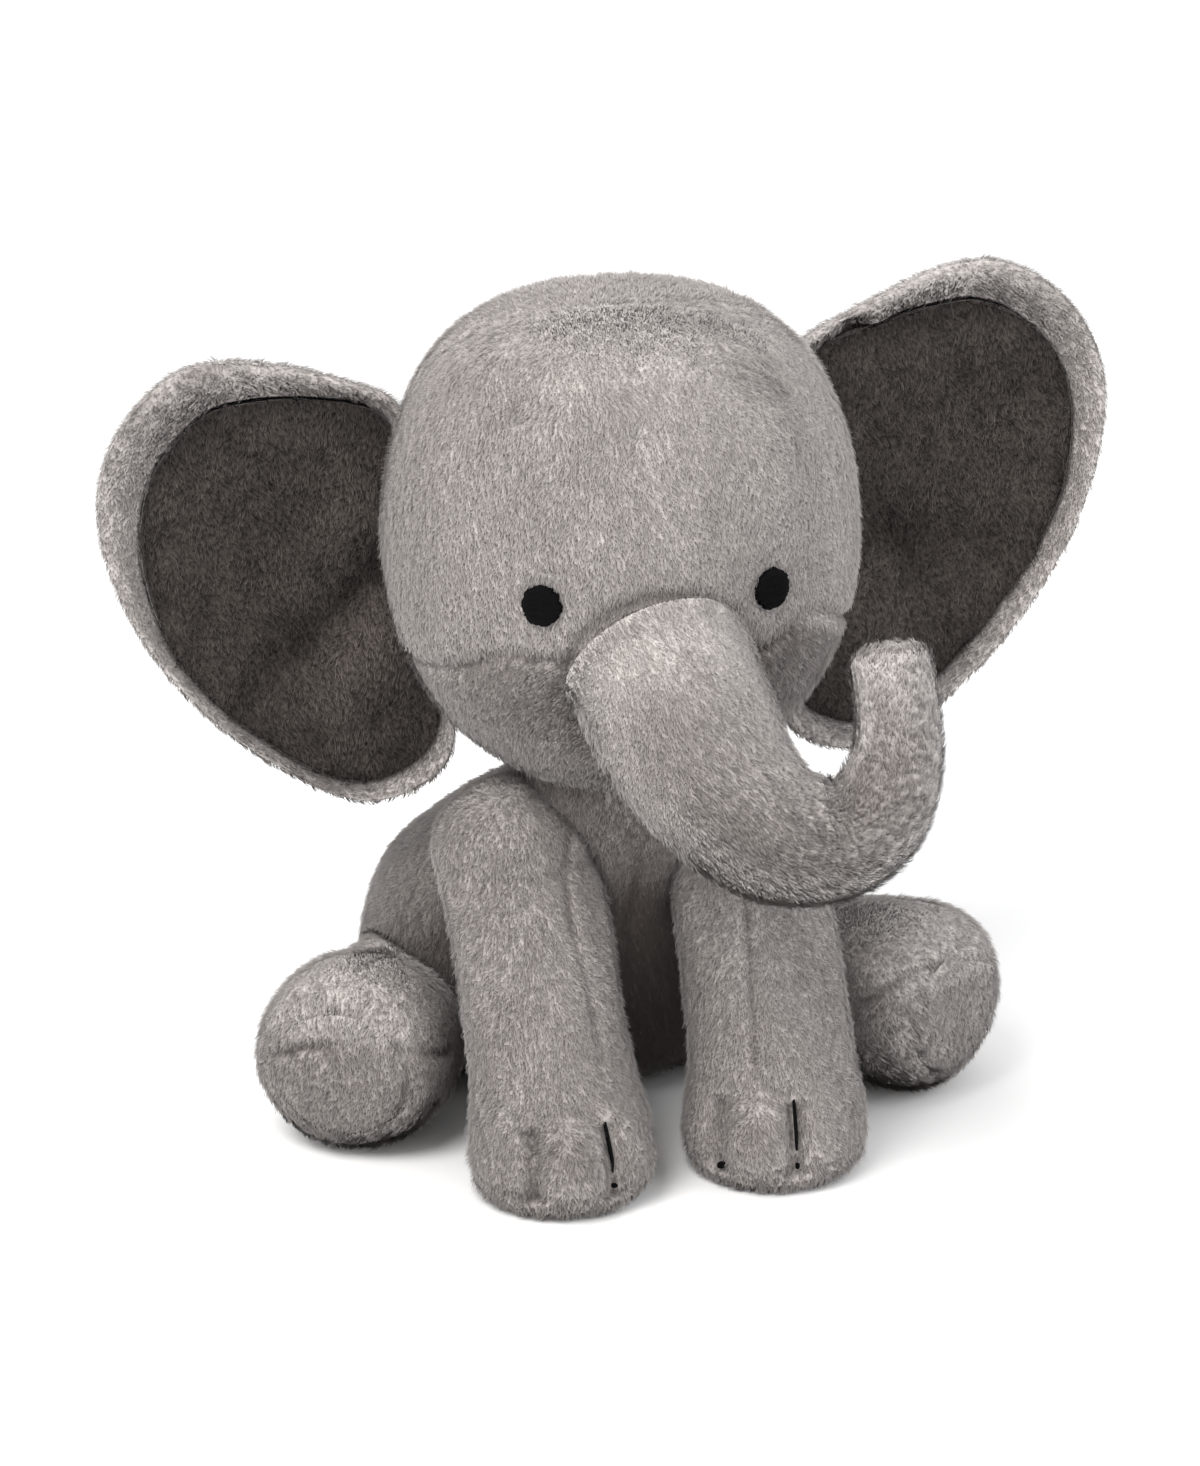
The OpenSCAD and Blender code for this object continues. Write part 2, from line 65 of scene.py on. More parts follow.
low, high = (np.array(corner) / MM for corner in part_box("seat_gusset"))
SHIFT = (low + high) / 2 - SEAT_MIDDLE
SHIFT[2] = 0.0

HEAD_ROTATION = np.array(Matrix.Rotation(HEAD_TURN, 3, "Z") @ Matrix.Rotation(HEAD_LEAN, 3, "Y"))


def place_body(points):
    """Carries sewing-frame millimetres into the model's frame."""
    return (np.asarray(points, float) + SHIFT) * MM


def place_head(points):
    """The same for what hangs on the head, which is turned and leans on the neck."""
    return ((np.asarray(points, float) - NECK) @ HEAD_ROTATION.T + NECK + SHIFT) * MM


def mirrored(points):
    return np.asarray(points, float) * np.array([-1.0, 1.0, 1.0])


# ---- numbers and noise
def norm(v):
    return np.linalg.norm(v, axis=-1)


def unit(v):
    return v / np.maximum(np.linalg.norm(v, axis=-1, keepdims=True), 1e-9)


def ramp(a, b, x):
    """Eased rise from 0 at a to 1 at b."""
    t = np.clip((x - a) / (b - a), 0.0, 1.0)
    return t * t * (3 - 2 * t)


def lattice_noise(points, seed):
    """Smooth value noise from -1 to 1 at points given in lattice cells."""
    cell = np.floor(points).astype(np.int64)
    f = points - cell
    f = f * f * (3 - 2 * f)
    total = np.zeros(points.shape[:-1])
    # Large odd numbers stir each corner's whole-number place into an even spread of values
    for corner in range(8):
        d = np.array([corner & 1, (corner >> 1) & 1, corner >> 2])
        k = cell + d
        h = k @ np.array([374761393, 668265263, 1274126177]) + seed * 974634777
        h = (h ^ (h >> 13)) * 1103515245
        h = (h ^ (h >> 16)) & 0xFFFF
        w = np.prod(np.where(d == 1, f, 1 - f), axis=-1)
        total += w * (h / 32767.5 - 1)
    return total


def soft_noise(points, size, seed, octaves=2):
    """Noise from -1 to 1 with features of a size, and finer ones on them."""
    total, share, whole = 0.0, 1.0, 0.0
    for k in range(octaves):
        total = total + share * lattice_noise(points / (size / 2**k), seed + 31 * k)
        whole += share
        share *= 0.5
    return total / whole


def cubic(a, b, c, d, f):
    """Point a share f of the way from b to c, on a smooth curve through all four."""
    return 0.5 * (
        2 * b + (c - a) * f + (2 * a - 5 * b + 4 * c - d) * f**2 + (3 * b - 3 * c + d - a) * f**3
    )


def catmull(rows, count):
    """Rows on a smooth curve through the given rows."""
    rows = np.asarray(rows, float)
    last = len(rows) - 1
    u = np.linspace(0, last, count)
    i = np.minimum(u.astype(int), last - 1)
    f = (u - i)[:, None]
    return cubic(rows[np.maximum(i - 1, 0)], rows[i], rows[i + 1], rows[np.minimum(i + 2, last)], f)


def closed_catmull(rows, count):
    """Rows on a smooth closed curve through the given rows."""
    rows = np.asarray(rows, float)
    n = len(rows)
    u = np.arange(count) * n / count
    i = u.astype(int)
    return cubic(*(rows[(i + k) % n] for k in (-1, 0, 1, 2)), (u - i)[:, None])


def line_distance(points, line, count=90):
    """Distance from points to a smooth line, and how far along the line the nearest point is."""
    path = catmull(line, count)
    best = np.full(points.shape[:-1], 1e9)
    where = np.zeros(points.shape[:-1])
    for k in range(count - 1):
        a, b = path[k], path[k + 1]
        ab = b - a
        t = np.clip(((points - a) @ ab) / max(ab @ ab, 1e-9), 0, 1)
        d = norm(points - a - t[..., None] * ab)
        nearer = d < best
        best = np.where(nearer, d, best)
        where = np.where(nearer, (k + t) / (count - 1), where)
    return best, where


def side_distance(flat, line, count=50):
    """Distance in front view from a smooth line, positive below it, and how far along it is."""
    distance, along = line_distance(flat, line, count)
    path = catmull(line, count)
    k = np.minimum((along * (count - 1)).astype(int), count - 2)
    step, gap = path[k + 1] - path[k], flat - path[k]
    above = step[..., 0] * gap[..., 1] - step[..., 1] * gap[..., 0] > 0
    return np.where(above, -distance, distance), along


def bump_at(distance, width):
    """Smooth hump: 1 at no distance, and nearly nothing past twice its width."""
    return np.exp(-((distance / width) ** 2))


# ---- grids
PILE_ROOM = 0.9  # the skin lies this far under the pile's outline
FLOOR_GAP = 0.35  # the skin's lowest point
BARE_UNDER = 0.9  # no pile grows on what is lower than this
BARE_SEAM = 0.6  # half width of the line along a seam where little pile grows
UPRIGHT_GRAIN = np.array([1.0, 1.0, 0.36])  # the fine pattern is drawn out along Z


class Grid:
    """Rings of points, closed round each ring and capped at both ends.

    tone is how dark the pile stands, from 0 to 1: partly the pile's own nap and random variation, partly
    painted shade and painted rim light. cover and length are shares of its full density and length. nap is
    the way it lies, and grain is the place that its fine pattern is read at.
    """

    def __init__(self, points):
        self.p = np.asarray(points, float)
        self.outward = 1
        shape = self.p.shape[:2]
        self.tone, self.cover, self.length = np.zeros(shape), np.ones(shape), np.ones(shape)
        self.nap = np.broadcast_to([0, 0, -1.0], self.p.shape)
        self.grain = None

    def normals(self):
        du = np.gradient(self.p, axis=0)
        dv = np.roll(self.p, -1, axis=1) - np.roll(self.p, 1, axis=1)
        return unit(np.cross(dv, du)) * self.outward

    def face(self, row, direction):
        """Turns the skin right side out: the first point of a row faces a direction."""
        if self.normals()[row, 0] @ np.array(direction, float) < 0:
            self.outward = -1

    def facing(self, side):
        """How squarely each point faces forward and a little up, turned by some share to one side."""
        return self.normals() @ unit(np.array([side, -0.9, 0.38]))

    def away(self, place):
        """Distance of each point from a place."""
        return norm(self.p - place)

    def push(self, amount):
        self.p = self.p + self.normals() * np.asarray(amount)[..., None]

    def rest(self):
        """Flattens what would reach into the surface that the toy sits on."""
        self.p[..., 2] = np.maximum(self.p[..., 2], FLOOR_GAP)

    def groove(self, line, depth, width, tone, fade):
        """Sewn seam: the skin dips along a line, its pile is thinner and shorter, and painted shade darkens
        it there.
        """
        d, along = line_distance(self.p, line)
        end = ramp(0, fade, along) * ramp(0, fade, 1 - along) if fade else 1.0
        self.push(-depth * (bump_at(d, width) * end))
        # Painted shade in the seam's dip
        self.tone += 1.5 * tone * bump_at(d, 0.8 * width) * end
        self.length *= 1 - 0.5 * bump_at(d, 0.8 * width) * end
        self.cover *= 1 - 0.8 * bump_at(d, BARE_SEAM) * end

    def comb(self, direction, wander, size, seed):
        """Lays the pile along a direction, turned a little here and there as a hand leaves it."""
        n = self.normals()
        d = np.broadcast_to(direction, self.p.shape)
        d = d - (d * n).sum(-1, keepdims=True) * n
        d = unit(d + 1e-6)
        a = np.radians(wander) * 1.7 * soft_noise(self.p, size, seed)
        self.nap = d * np.cos(a)[..., None] + np.cross(n, d) * np.sin(a)[..., None]


def rings(rows, axis, up, sides):
    """One ring for each row [x, y, z, half size along up, half size across]."""
    rows = np.asarray(rows, float)
    axis, up = np.broadcast_to(np.asarray(axis, float), rows[:, :3].shape), np.asarray(up, float)
    u = unit(up - (axis @ up)[:, None] * axis)
    v = np.cross(axis, u)
    a = np.linspace(0, 2 * np.pi, sides, endpoint=False)
    return (
        rows[:, None, :3]
        + u[:, None, :] * (rows[:, 3][:, None] * np.cos(a))[..., None]
        + v[:, None, :] * (rows[:, 4][:, None] * np.sin(a))[..., None]
    )


def tuck(points, bars):
    """Draws ring points in toward their ring's middle until they are clear of round bars."""
    middle = points.mean(axis=1, keepdims=True)
    out = points.copy()
    free = np.zeros(points.shape[:2], bool)
    for f in np.linspace(0, 0.9, 61):
        trial = points + f * (middle - points)
        clear = np.ones(points.shape[:2], bool)
        for a, b, r in bars:
            ab = b - a
            t = np.clip(((trial - a) @ ab) / max(ab @ ab, 1e-9), 0, 1)
            clear &= norm(trial - a - t[..., None] * ab) >= r
        new = clear & ~free
        out[new] = trial[new]
        free |= clear
    return out


def smooth_grid(points, turns):
    """Evens out a grid's points, round each ring and from ring to ring."""
    for _ in range(turns):
        side = (np.roll(points, 1, axis=1) + np.roll(points, -1, axis=1)) / 2
        line = points.copy()
        line[1:-1] = (points[2:] + points[:-2]) / 2
        points = 0.5 * points + 0.25 * side + 0.25 * line
    return points


def round_end(row, direction, reach, angles, count, fullness=1.0):
    """Rows that round off a tube: they run on from its last row by up to reach, and narrow."""
    a = np.radians(np.linspace(*angles, count))[:, None]
    end = np.repeat(row[None], count, axis=0)
    end[:, :3] += direction * reach * np.sin(a)
    end[:, 3:] *= np.cos(a) ** fullness
    return end


def closed_tube(rows, reach, count, fullness=1.0):
    """Rows with a rounded end added to them, and the way that each one points."""
    step = unit(np.gradient(rows[:, :3], axis=0))
    end = round_end(rows[-1], step[-1], reach, (8, 86), count, fullness)
    return np.concatenate([rows, end]), np.concatenate([step, np.repeat(step[-1:], count, axis=0)])


# ---- meshes
def attribute(mesh, name, kind, values):
    data = mesh.attributes.new(name, kind, "POINT")
    field = "value" if kind == "FLOAT" else "vector"
    data.data.foreach_set(field, np.asarray(values, np.float32).ravel())


def grid_object(name, grid, place, material, mirror=False):
    """Mesh from a grid, with the attributes that the pile and the materials read."""
    r, s = grid.p.shape[:2]
    grain = grid.p * [1, 1, 0.3] if grid.grain is None else grid.grain
    fields = dict(
        p=grid.p.reshape(-1, 3), nap=grid.nap.reshape(-1, 3), grain=grain.reshape(-1, 3),
        tone=grid.tone.ravel(), cover=grid.cover.ravel(), long=grid.length.ravel(),
    )
    i, j = np.meshgrid(np.arange(r - 1), np.arange(s), indexing="ij")
    k = (j + 1) % s
    quads = np.stack([i * s + j, i * s + k, (i + 1) * s + k, (i + 1) * s + j], -1).reshape(-1, 4)
    faces = quads.tolist()
    for row, flip in ((0, True), (r - 1, False)):
        for key, values in fields.items():
            ring = values[row * s : row * s + s]
            fields[key] = np.concatenate([values, ring.mean(axis=0, keepdims=True)])
        middle = len(fields["tone"]) - 1
        for a in range(s):
            edge = [row * s + a, row * s + (a + 1) % s]
            faces.append([middle, *(edge[::-1] if flip else edge)])
    points, nap = fields["p"], fields["nap"]
    if mirror:
        points, nap = mirrored(points), mirrored(nap)
    world = place(points)
    nap = unit(place(points + nap) - world)
    mesh = bpy.data.meshes.new(name)
    reverse = (grid.outward < 0) != mirror
    mesh.from_pydata(world.tolist(), [], [f[::-1] for f in faces] if reverse else faces)
    attribute(mesh, "nap", "FLOAT_VECTOR", nap)
    attribute(mesh, "grain", "FLOAT_VECTOR", fields["grain"])
    for key in ("tone", "cover", "long"):
        attribute(mesh, key, "FLOAT", fields[key])
    mesh.polygons.foreach_set("use_smooth", np.ones(len(mesh.polygons), bool))
    mesh.update()
    mesh.materials.append(material)
    obj = bpy.data.objects.new(name, mesh)
    bpy.context.scene.collection.objects.link(obj)
    return obj


# ---- materials
class Nodes:
    """Short way to add nodes to a tree and join them."""

    def __init__(self, tree):
        self.tree = tree

    def add(self, kind, inputs=None, **settings):
        node = self.tree.nodes.new(kind)
        for key, value in settings.items():
            setattr(node, key, value)
        for key, value in (inputs or {}).items():
            if isinstance(value, bpy.types.NodeSocket):
                self.tree.links.new(value, node.inputs[key])
            else:
                node.inputs[key].default_value = value
        return node

    def get(self, kind, inputs=None, **settings):
        """First output of a new node."""
        return self.add(kind, inputs, **settings).outputs[0]

    def math(self, operation, a, b=0.0, clamp=False):
        return self.get("ShaderNodeMath", {0: a, 1: b}, operation=operation, use_clamp=clamp)

    def mix(self, factor, a, b):
        """Mixes two colours, each a socket or three numbers."""
        a, b = (c if isinstance(c, bpy.types.NodeSocket) else (*c, 1.0) for c in (a, b))
        node = self.add("ShaderNodeMix", {0: factor, 6: a, 7: b}, data_type="RGBA")
        return node.outputs[2]

    def span(self, value, a, b, c=0.0, d=1.0):
        """Carries a value's range from a to b onto c to d."""
        return self.get("ShaderNodeMapRange", {0: value, 1: a, 2: b, 3: c, 4: d})

    def read(self, name, output="Fac"):
        return self.add("ShaderNodeAttribute", attribute_name=name).outputs[output]

    def noise(self, place, scale, detail, **inputs):
        inputs = {"Vector": place, "Scale": scale, "Detail": detail, **inputs}
        return self.get("ShaderNodeTexNoise", inputs)

    def principled(self, **inputs):
        """Principled shader: a socket's name is given with _ for each space."""
        inputs = {key.replace("_", " "): value for key, value in inputs.items()}
        return self.get("ShaderNodeBsdfPrincipled", inputs)

    def surface(self, shader):
        out = self.add("ShaderNodeOutputMaterial")
        self.tree.links.new(shader, out.inputs["Surface"])


def new_material(name):
    material = bpy.data.materials.new(name)
    material.use_nodes = True
    material.node_tree.nodes.clear()
    return material, Nodes(material.node_tree)


PILE_SHEEN = (0.95, 0.92, 0.9, 1.0)


def cloth_material(name, light, dark, root, streak=1.0):
    """Short plush pile seen as a surface: lighter tips, painted shade in the gaps between tufts, streaks
    along the nap.
    """
    material, n = new_material(name)
    grain = n.read("grain", "Vector")
    tone = n.read("tone")
    tufts = n.noise(grain, 1.15, 3.0, Roughness=0.62)
    fine = n.noise(grain, 3.2, 2.0, Roughness=0.6)
    clouds = n.noise(grain, 0.07, 2.0)
    # Painted shade: the gaps between tufts are darkened toward the root colour
    gap_shade = n.span(tufts, 0.30, 0.56, streak, 0.0)
    patch = n.span(clouds, 0.35, 0.7, -0.12, 0.14)
    level = n.math("ADD", tone, patch)
    level = n.math("ADD", level, n.span(fine, 0.3, 0.7, 0.1, -0.1), clamp=True)
    coat = n.mix(level, light, dark)
    colour = n.mix(n.math("MULTIPLY", gap_shade, 0.55), coat, root)
    height = n.math("ADD", n.math("MULTIPLY", tufts, 0.7), n.math("MULTIPLY", fine, 0.3))
    bump = n.add("ShaderNodeBump", {"Strength": 0.55, "Distance": 0.0007, "Height": height})
    n.surface(n.principled(
        Base_Color=colour, Roughness=0.92, Normal=bump.outputs[0], Specular_IOR_Level=0.15,
        Sheen_Weight=0.35, Sheen_Roughness=0.45, Sheen_Tint=PILE_SHEEN,
    ))
    return material


def strand_material(name, light, dark, root):
    """Fibres of the pile, pale at the tip and darkened toward the skin by painted shade."""
    material, n = new_material(name)
    tone = n.read("tone")
    skin = n.read("skin", "Vector")
    chance = n.read("spare")
    along = n.read("along")
    level = n.math("ADD", tone, n.span(chance, 0, 1, -0.13, 0.16), clamp=True)
    coat = n.mix(level, light, dark)
    # Painted shade deep in the pile: each fibre darkens toward the root colour near the skin
    colour = n.mix(n.span(along, 0.0, 0.8, 0.9, 0.0), coat, root)
    normal = n.get("ShaderNodeVectorMath", {0: skin}, operation="NORMALIZE")
    reflected = n.principled(
        Base_Color=colour, Roughness=0.8, Normal=normal, Specular_IOR_Level=0.2,
        Sheen_Weight=0.5, Sheen_Roughness=0.4, Sheen_Tint=PILE_SHEEN,
    )
    through = n.get("ShaderNodeBsdfTranslucent", {"Color": colour, "Normal": normal})
    n.surface(n.get("ShaderNodeMixShader", {0: 0.36, 1: reflected, 2: through}))
    return material


def thread_material(name, colour, pitch):
    """Close embroidery thread with a fine twist, and a painted highlight along each twist."""
    material, n = new_material(name)
    place = n.add("ShaderNodeTexCoord").outputs["Object"]
    wave = n.add("ShaderNodeTexWave", {"Vector": place, "Scale": pitch, "Distortion": 1.2, "Detail": 2.0},
                 bands_direction="Z").outputs[1]
    bump = n.get("ShaderNodeBump", {"Strength": 0.6, "Distance": 0.0003, "Height": wave})
    # Painted highlight: each twist of the thread is lighter along its ridge
    shine = [1.5 * c for c in colour]
    tint = n.mix(n.span(wave, 0, 1, 0.0, 0.7), colour, shine)
    n.surface(n.principled(Base_Color=tint, Roughness=0.8, Normal=bump, Specular_IOR_Level=0.08))
    return material


# Each pile has a light, a dark and a root colour. The dark one serves both the pile's own darker nap and
# painted shade, and the root one is painted shade deep in the pile
GREY = ((0.68, 0.635, 0.612), (0.12, 0.102, 0.094), (0.13, 0.112, 0.103))
LINING_LIGHT, LINING_DARK, LINING_ROOT_SHADE = (0.27, 0.232, 0.21), (0.04, 0.032, 0.028), (0.006, 0.005, 0.0045)
LINING_BACKING = (0.11, 0.093, 0.083)
POUCH = ((0.75, 0.73, 0.68), (0.6, 0.58, 0.52), (0.5, 0.47, 0.42))
THREAD_BLACK = (0.0022, 0.0022, 0.0026)

grey_cloth = cloth_material("grey_pile_cloth", *GREY)
grey_strand = strand_material("grey_pile_strand", *GREY)
dark_cloth = cloth_material("dark_pile_cloth", LINING_BACKING, LINING_DARK, LINING_ROOT_SHADE, 1.4)
dark_strand = strand_material("dark_pile_strand", LINING_LIGHT, LINING_DARK, LINING_ROOT_SHADE)
black_thread = thread_material("black_thread", THREAD_BLACK, 900.0)
pouch_cloth = cloth_material("pellet_pouch_cloth", *POUCH, 0.5)


# ---- pile
def pile_group(name, material, density, length, radius, lean, clump, pull, seed):
    """Geometry nodes that grow short curved fibres along the nap, drawn together in tufts.

    density is fibres in a square metre, and length, radius and clump, the width of a tuft, are in metres.
    lean is how far a fibre lies over, and pull how far its tip is drawn to the tuft's middle, as shares.
    """
    tree = bpy.data.node_groups.new(name, "GeometryNodeTree")
    tree.interface.new_socket("Geometry", in_out="INPUT", socket_type="NodeSocketGeometry")
    tree.interface.new_socket("Geometry", in_out="OUTPUT", socket_type="NodeSocketGeometry")
    n = Nodes(tree)
    source = n.get("NodeGroupInput")

    def named(attr, kind):
        return n.get("GeometryNodeInputNamedAttribute", {"Name": attr}, data_type=kind)

    def store(geometry, attr, kind, value):
        inputs = {"Geometry": geometry, "Name": attr, "Value": value}
        return n.get("GeometryNodeStoreNamedAttribute", inputs, data_type=kind, domain="POINT")

    def vector(operation, a, b):
        key = "Scale" if operation == "SCALE" else 1
        return n.get("ShaderNodeVectorMath", {0: a, key: b}, operation=operation)

    def random(low, high, offset, kind="FLOAT"):
        first, output = (2, 1) if kind == "FLOAT" else (0, 0)
        inputs = {first: low, first + 1: high, "Seed": seed + offset}
        return n.add("FunctionNodeRandomValue", inputs, data_type=kind).outputs[output]

    def align(axis, attr, start=(0, 0, 0), pivot="AUTO"):
        inputs = {"Rotation": start, "Vector": named(attr, "FLOAT_VECTOR")}
        return n.get("FunctionNodeAlignRotationToVector", inputs, axis=axis, pivot_axis=pivot)

    density_here = n.math("MULTIPLY", named("cover", "FLOAT"), density)
    spread = n.add("GeometryNodeDistributePointsOnFaces",
                   {"Mesh": source, "Density": density_here, "Seed": seed}, distribute_method="RANDOM")
    points, normal = spread.outputs["Points"], spread.outputs["Normal"]
    points = store(points, "skin", "FLOAT_VECTOR", normal)
    points = store(points, "root", "FLOAT_VECTOR", n.get("GeometryNodeInputPosition"))
    points = store(points, "spare", "FLOAT", random(0.0, 1.0, 1))

    laid = align("X", "nap", align("Z", "skin"), "Z")
    jitter = random((-0.22, -0.22, -0.42), (0.22, 0.22, 0.42), 2, "FLOAT_VECTOR")
    jitter = n.get("FunctionNodeEulerToRotation", {0: jitter})
    laid = n.get("FunctionNodeRotateRotation", {"Rotation": laid, "Rotate By": jitter},
                 rotation_space="LOCAL")
    fibre = n.get("GeometryNodeCurveQuadraticBezier", {
        "Resolution": 3, "Start": (0, 0, -0.1), "Middle": (0.2 * lean, 0, 0.55 - 0.15 * lean),
        "End": (lean, 0, 0.95 - 0.55 * lean),
    })
    size = n.math("MULTIPLY", random(0.7 * length, 1.2 * length, 3), named("long", "FLOAT"))
    strands = n.get("GeometryNodeInstanceOnPoints",
                    {"Points": points, "Instance": fibre, "Rotation": laid, "Scale": size})
    strands = n.get("GeometryNodeRealizeInstances", {"Geometry": strands})

    root = named("root", "FLOAT_VECTOR")
    along = n.get("GeometryNodeSplineParameter")
    bend = n.math("MULTIPLY", along, along)
    cell = n.add("ShaderNodeTexVoronoi", {"Vector": root, "Scale": 1 / clump}).outputs["Position"]
    toward = vector("SCALE", vector("SUBTRACT", cell, root), n.math("MULTIPLY", bend, pull))
    drift = n.add("ShaderNodeTexNoise", {"Vector": root, "Scale": 0.35 / clump, "Detail": 1.0})
    drift = drift.outputs["Color"]
    drift = vector("SUBTRACT", drift, (0.5, 0.5, 0.5))
    drift = vector("SCALE", drift, n.math("MULTIPLY", bend, 1.3 * length))
    moved = {"Geometry": strands, "Offset": vector("ADD", toward, drift)}
    strands = n.get("GeometryNodeSetPosition", moved)
    width = n.math("MULTIPLY", n.math("SUBTRACT", 1.0, n.math("MULTIPLY", along, 0.7)), radius)
    strands = store(strands, "along", "FLOAT", along)
    blade = n.get("GeometryNodeCurvePrimitiveLine", {"Start": (-1, 0, 0), "End": (1, 0, 0)})
    strands = n.get("GeometryNodeCurveToMesh",
                    {"Curve": strands, "Profile Curve": blade, "Scale": width})
    strands = n.get("GeometryNodeSetMaterial", {"Geometry": strands, "Material": material})
    joined = n.add("GeometryNodeJoinGeometry")
    tree.links.new(source, joined.inputs[0])
    tree.links.new(strands, joined.inputs[0])
    out = n.add("NodeGroupOutput")
    tree.links.new(joined.outputs[0], out.inputs[0])
    return tree


grey_pile = pile_group("grey_pile", grey_strand, density=3.1e6, length=2.2 * MM, radius=0.115 * MM,
                       lean=0.9, clump=0.85 * MM, pull=0.5, seed=11)
dark_pile = pile_group("dark_pile", dark_strand, density=2.4e6, length=2.7 * MM, radius=0.13 * MM,
                       lean=0.5, clump=1.5 * MM, pull=0.95, seed=23)


def grow_pile(obj, group):
    """The fibres are drawn in a render only; the piece itself stays a plain skin."""
    modifier = obj.modifiers.new("Pile", "NODES")
    modifier.node_group = group
    modifier.show_viewport = False
    modifier.show_render = True


# ---- head
HEAD_MIDDLE = np.array([0.0, -6.0, 155.0])
HEAD_W, HEAD_D = 58.8, 56.0  # half sizes, across and front to back
CROWN, CHIN = 59.2, 63.0  # reach above and below the middle


def head_share(a):
    """Share of the head's full half size at an angle up or down from its middle."""
    return np.where(a > 0, np.cos(np.abs(a)) ** 0.52, np.cos(np.abs(a)) ** 0.85)


def head_point(angle, z):
    """Point on the head at an angle from straight ahead (toward +X) and a height."""
    h = z - HEAD_MIDDLE[2]
    a = np.arcsin(np.clip(h / (CROWN if h > 0 else CHIN), -1, 1))
    s = float(head_share(a))
    return np.array([HEAD_W * s * math.sin(angle), HEAD_MIDDLE[1] - HEAD_D * s * math.cos(angle), z])


TRUNK_ROOT = np.array([-1.0, -55.0, 136.5])
TRUNK_SEAM_R = 23.6  # the face dips in a ring round the trunk's root
UNDER_TRUNK_R = 20.5  # no pile grows on the face inside the trunk
EYE_LEFT, EYE_RIGHT = math.radians(29 - 2.3), math.radians(-29 - 2.3)  # the face is a little off centre
EYE_Z = 156.0
EYE_R = 5.0
EYE_STITCH = 0.42  # width of one satin stitch


def seam_on_head(angles, heights):
    """Line on the head through angles in degrees from straight ahead, and heights."""
    return [head_point(math.radians(a), z) for a, z in zip(angles, heights)]


CHEEK_SEAM_RIGHT = seam_on_head([-96, -75, -58, -44, -33, -20], [128, 131, 135, 141, 142, 142])
CHEEK_SEAM_LEFT = seam_on_head([20, 27, 36, 46, 60, 78, 96], [139, 141, 145, 145, 139, 133, 128])
DART_RIGHT = seam_on_head([-42, -41, -40], [134, 138, 143])
SIDE_SEAM = seam_on_head([104, 104, 104, 104, 100, 92], [104, 130, 160, 185, 200, 210])
BACK_SEAM = seam_on_head([180] * 6, [98, 130, 160, 190, 206, 213])


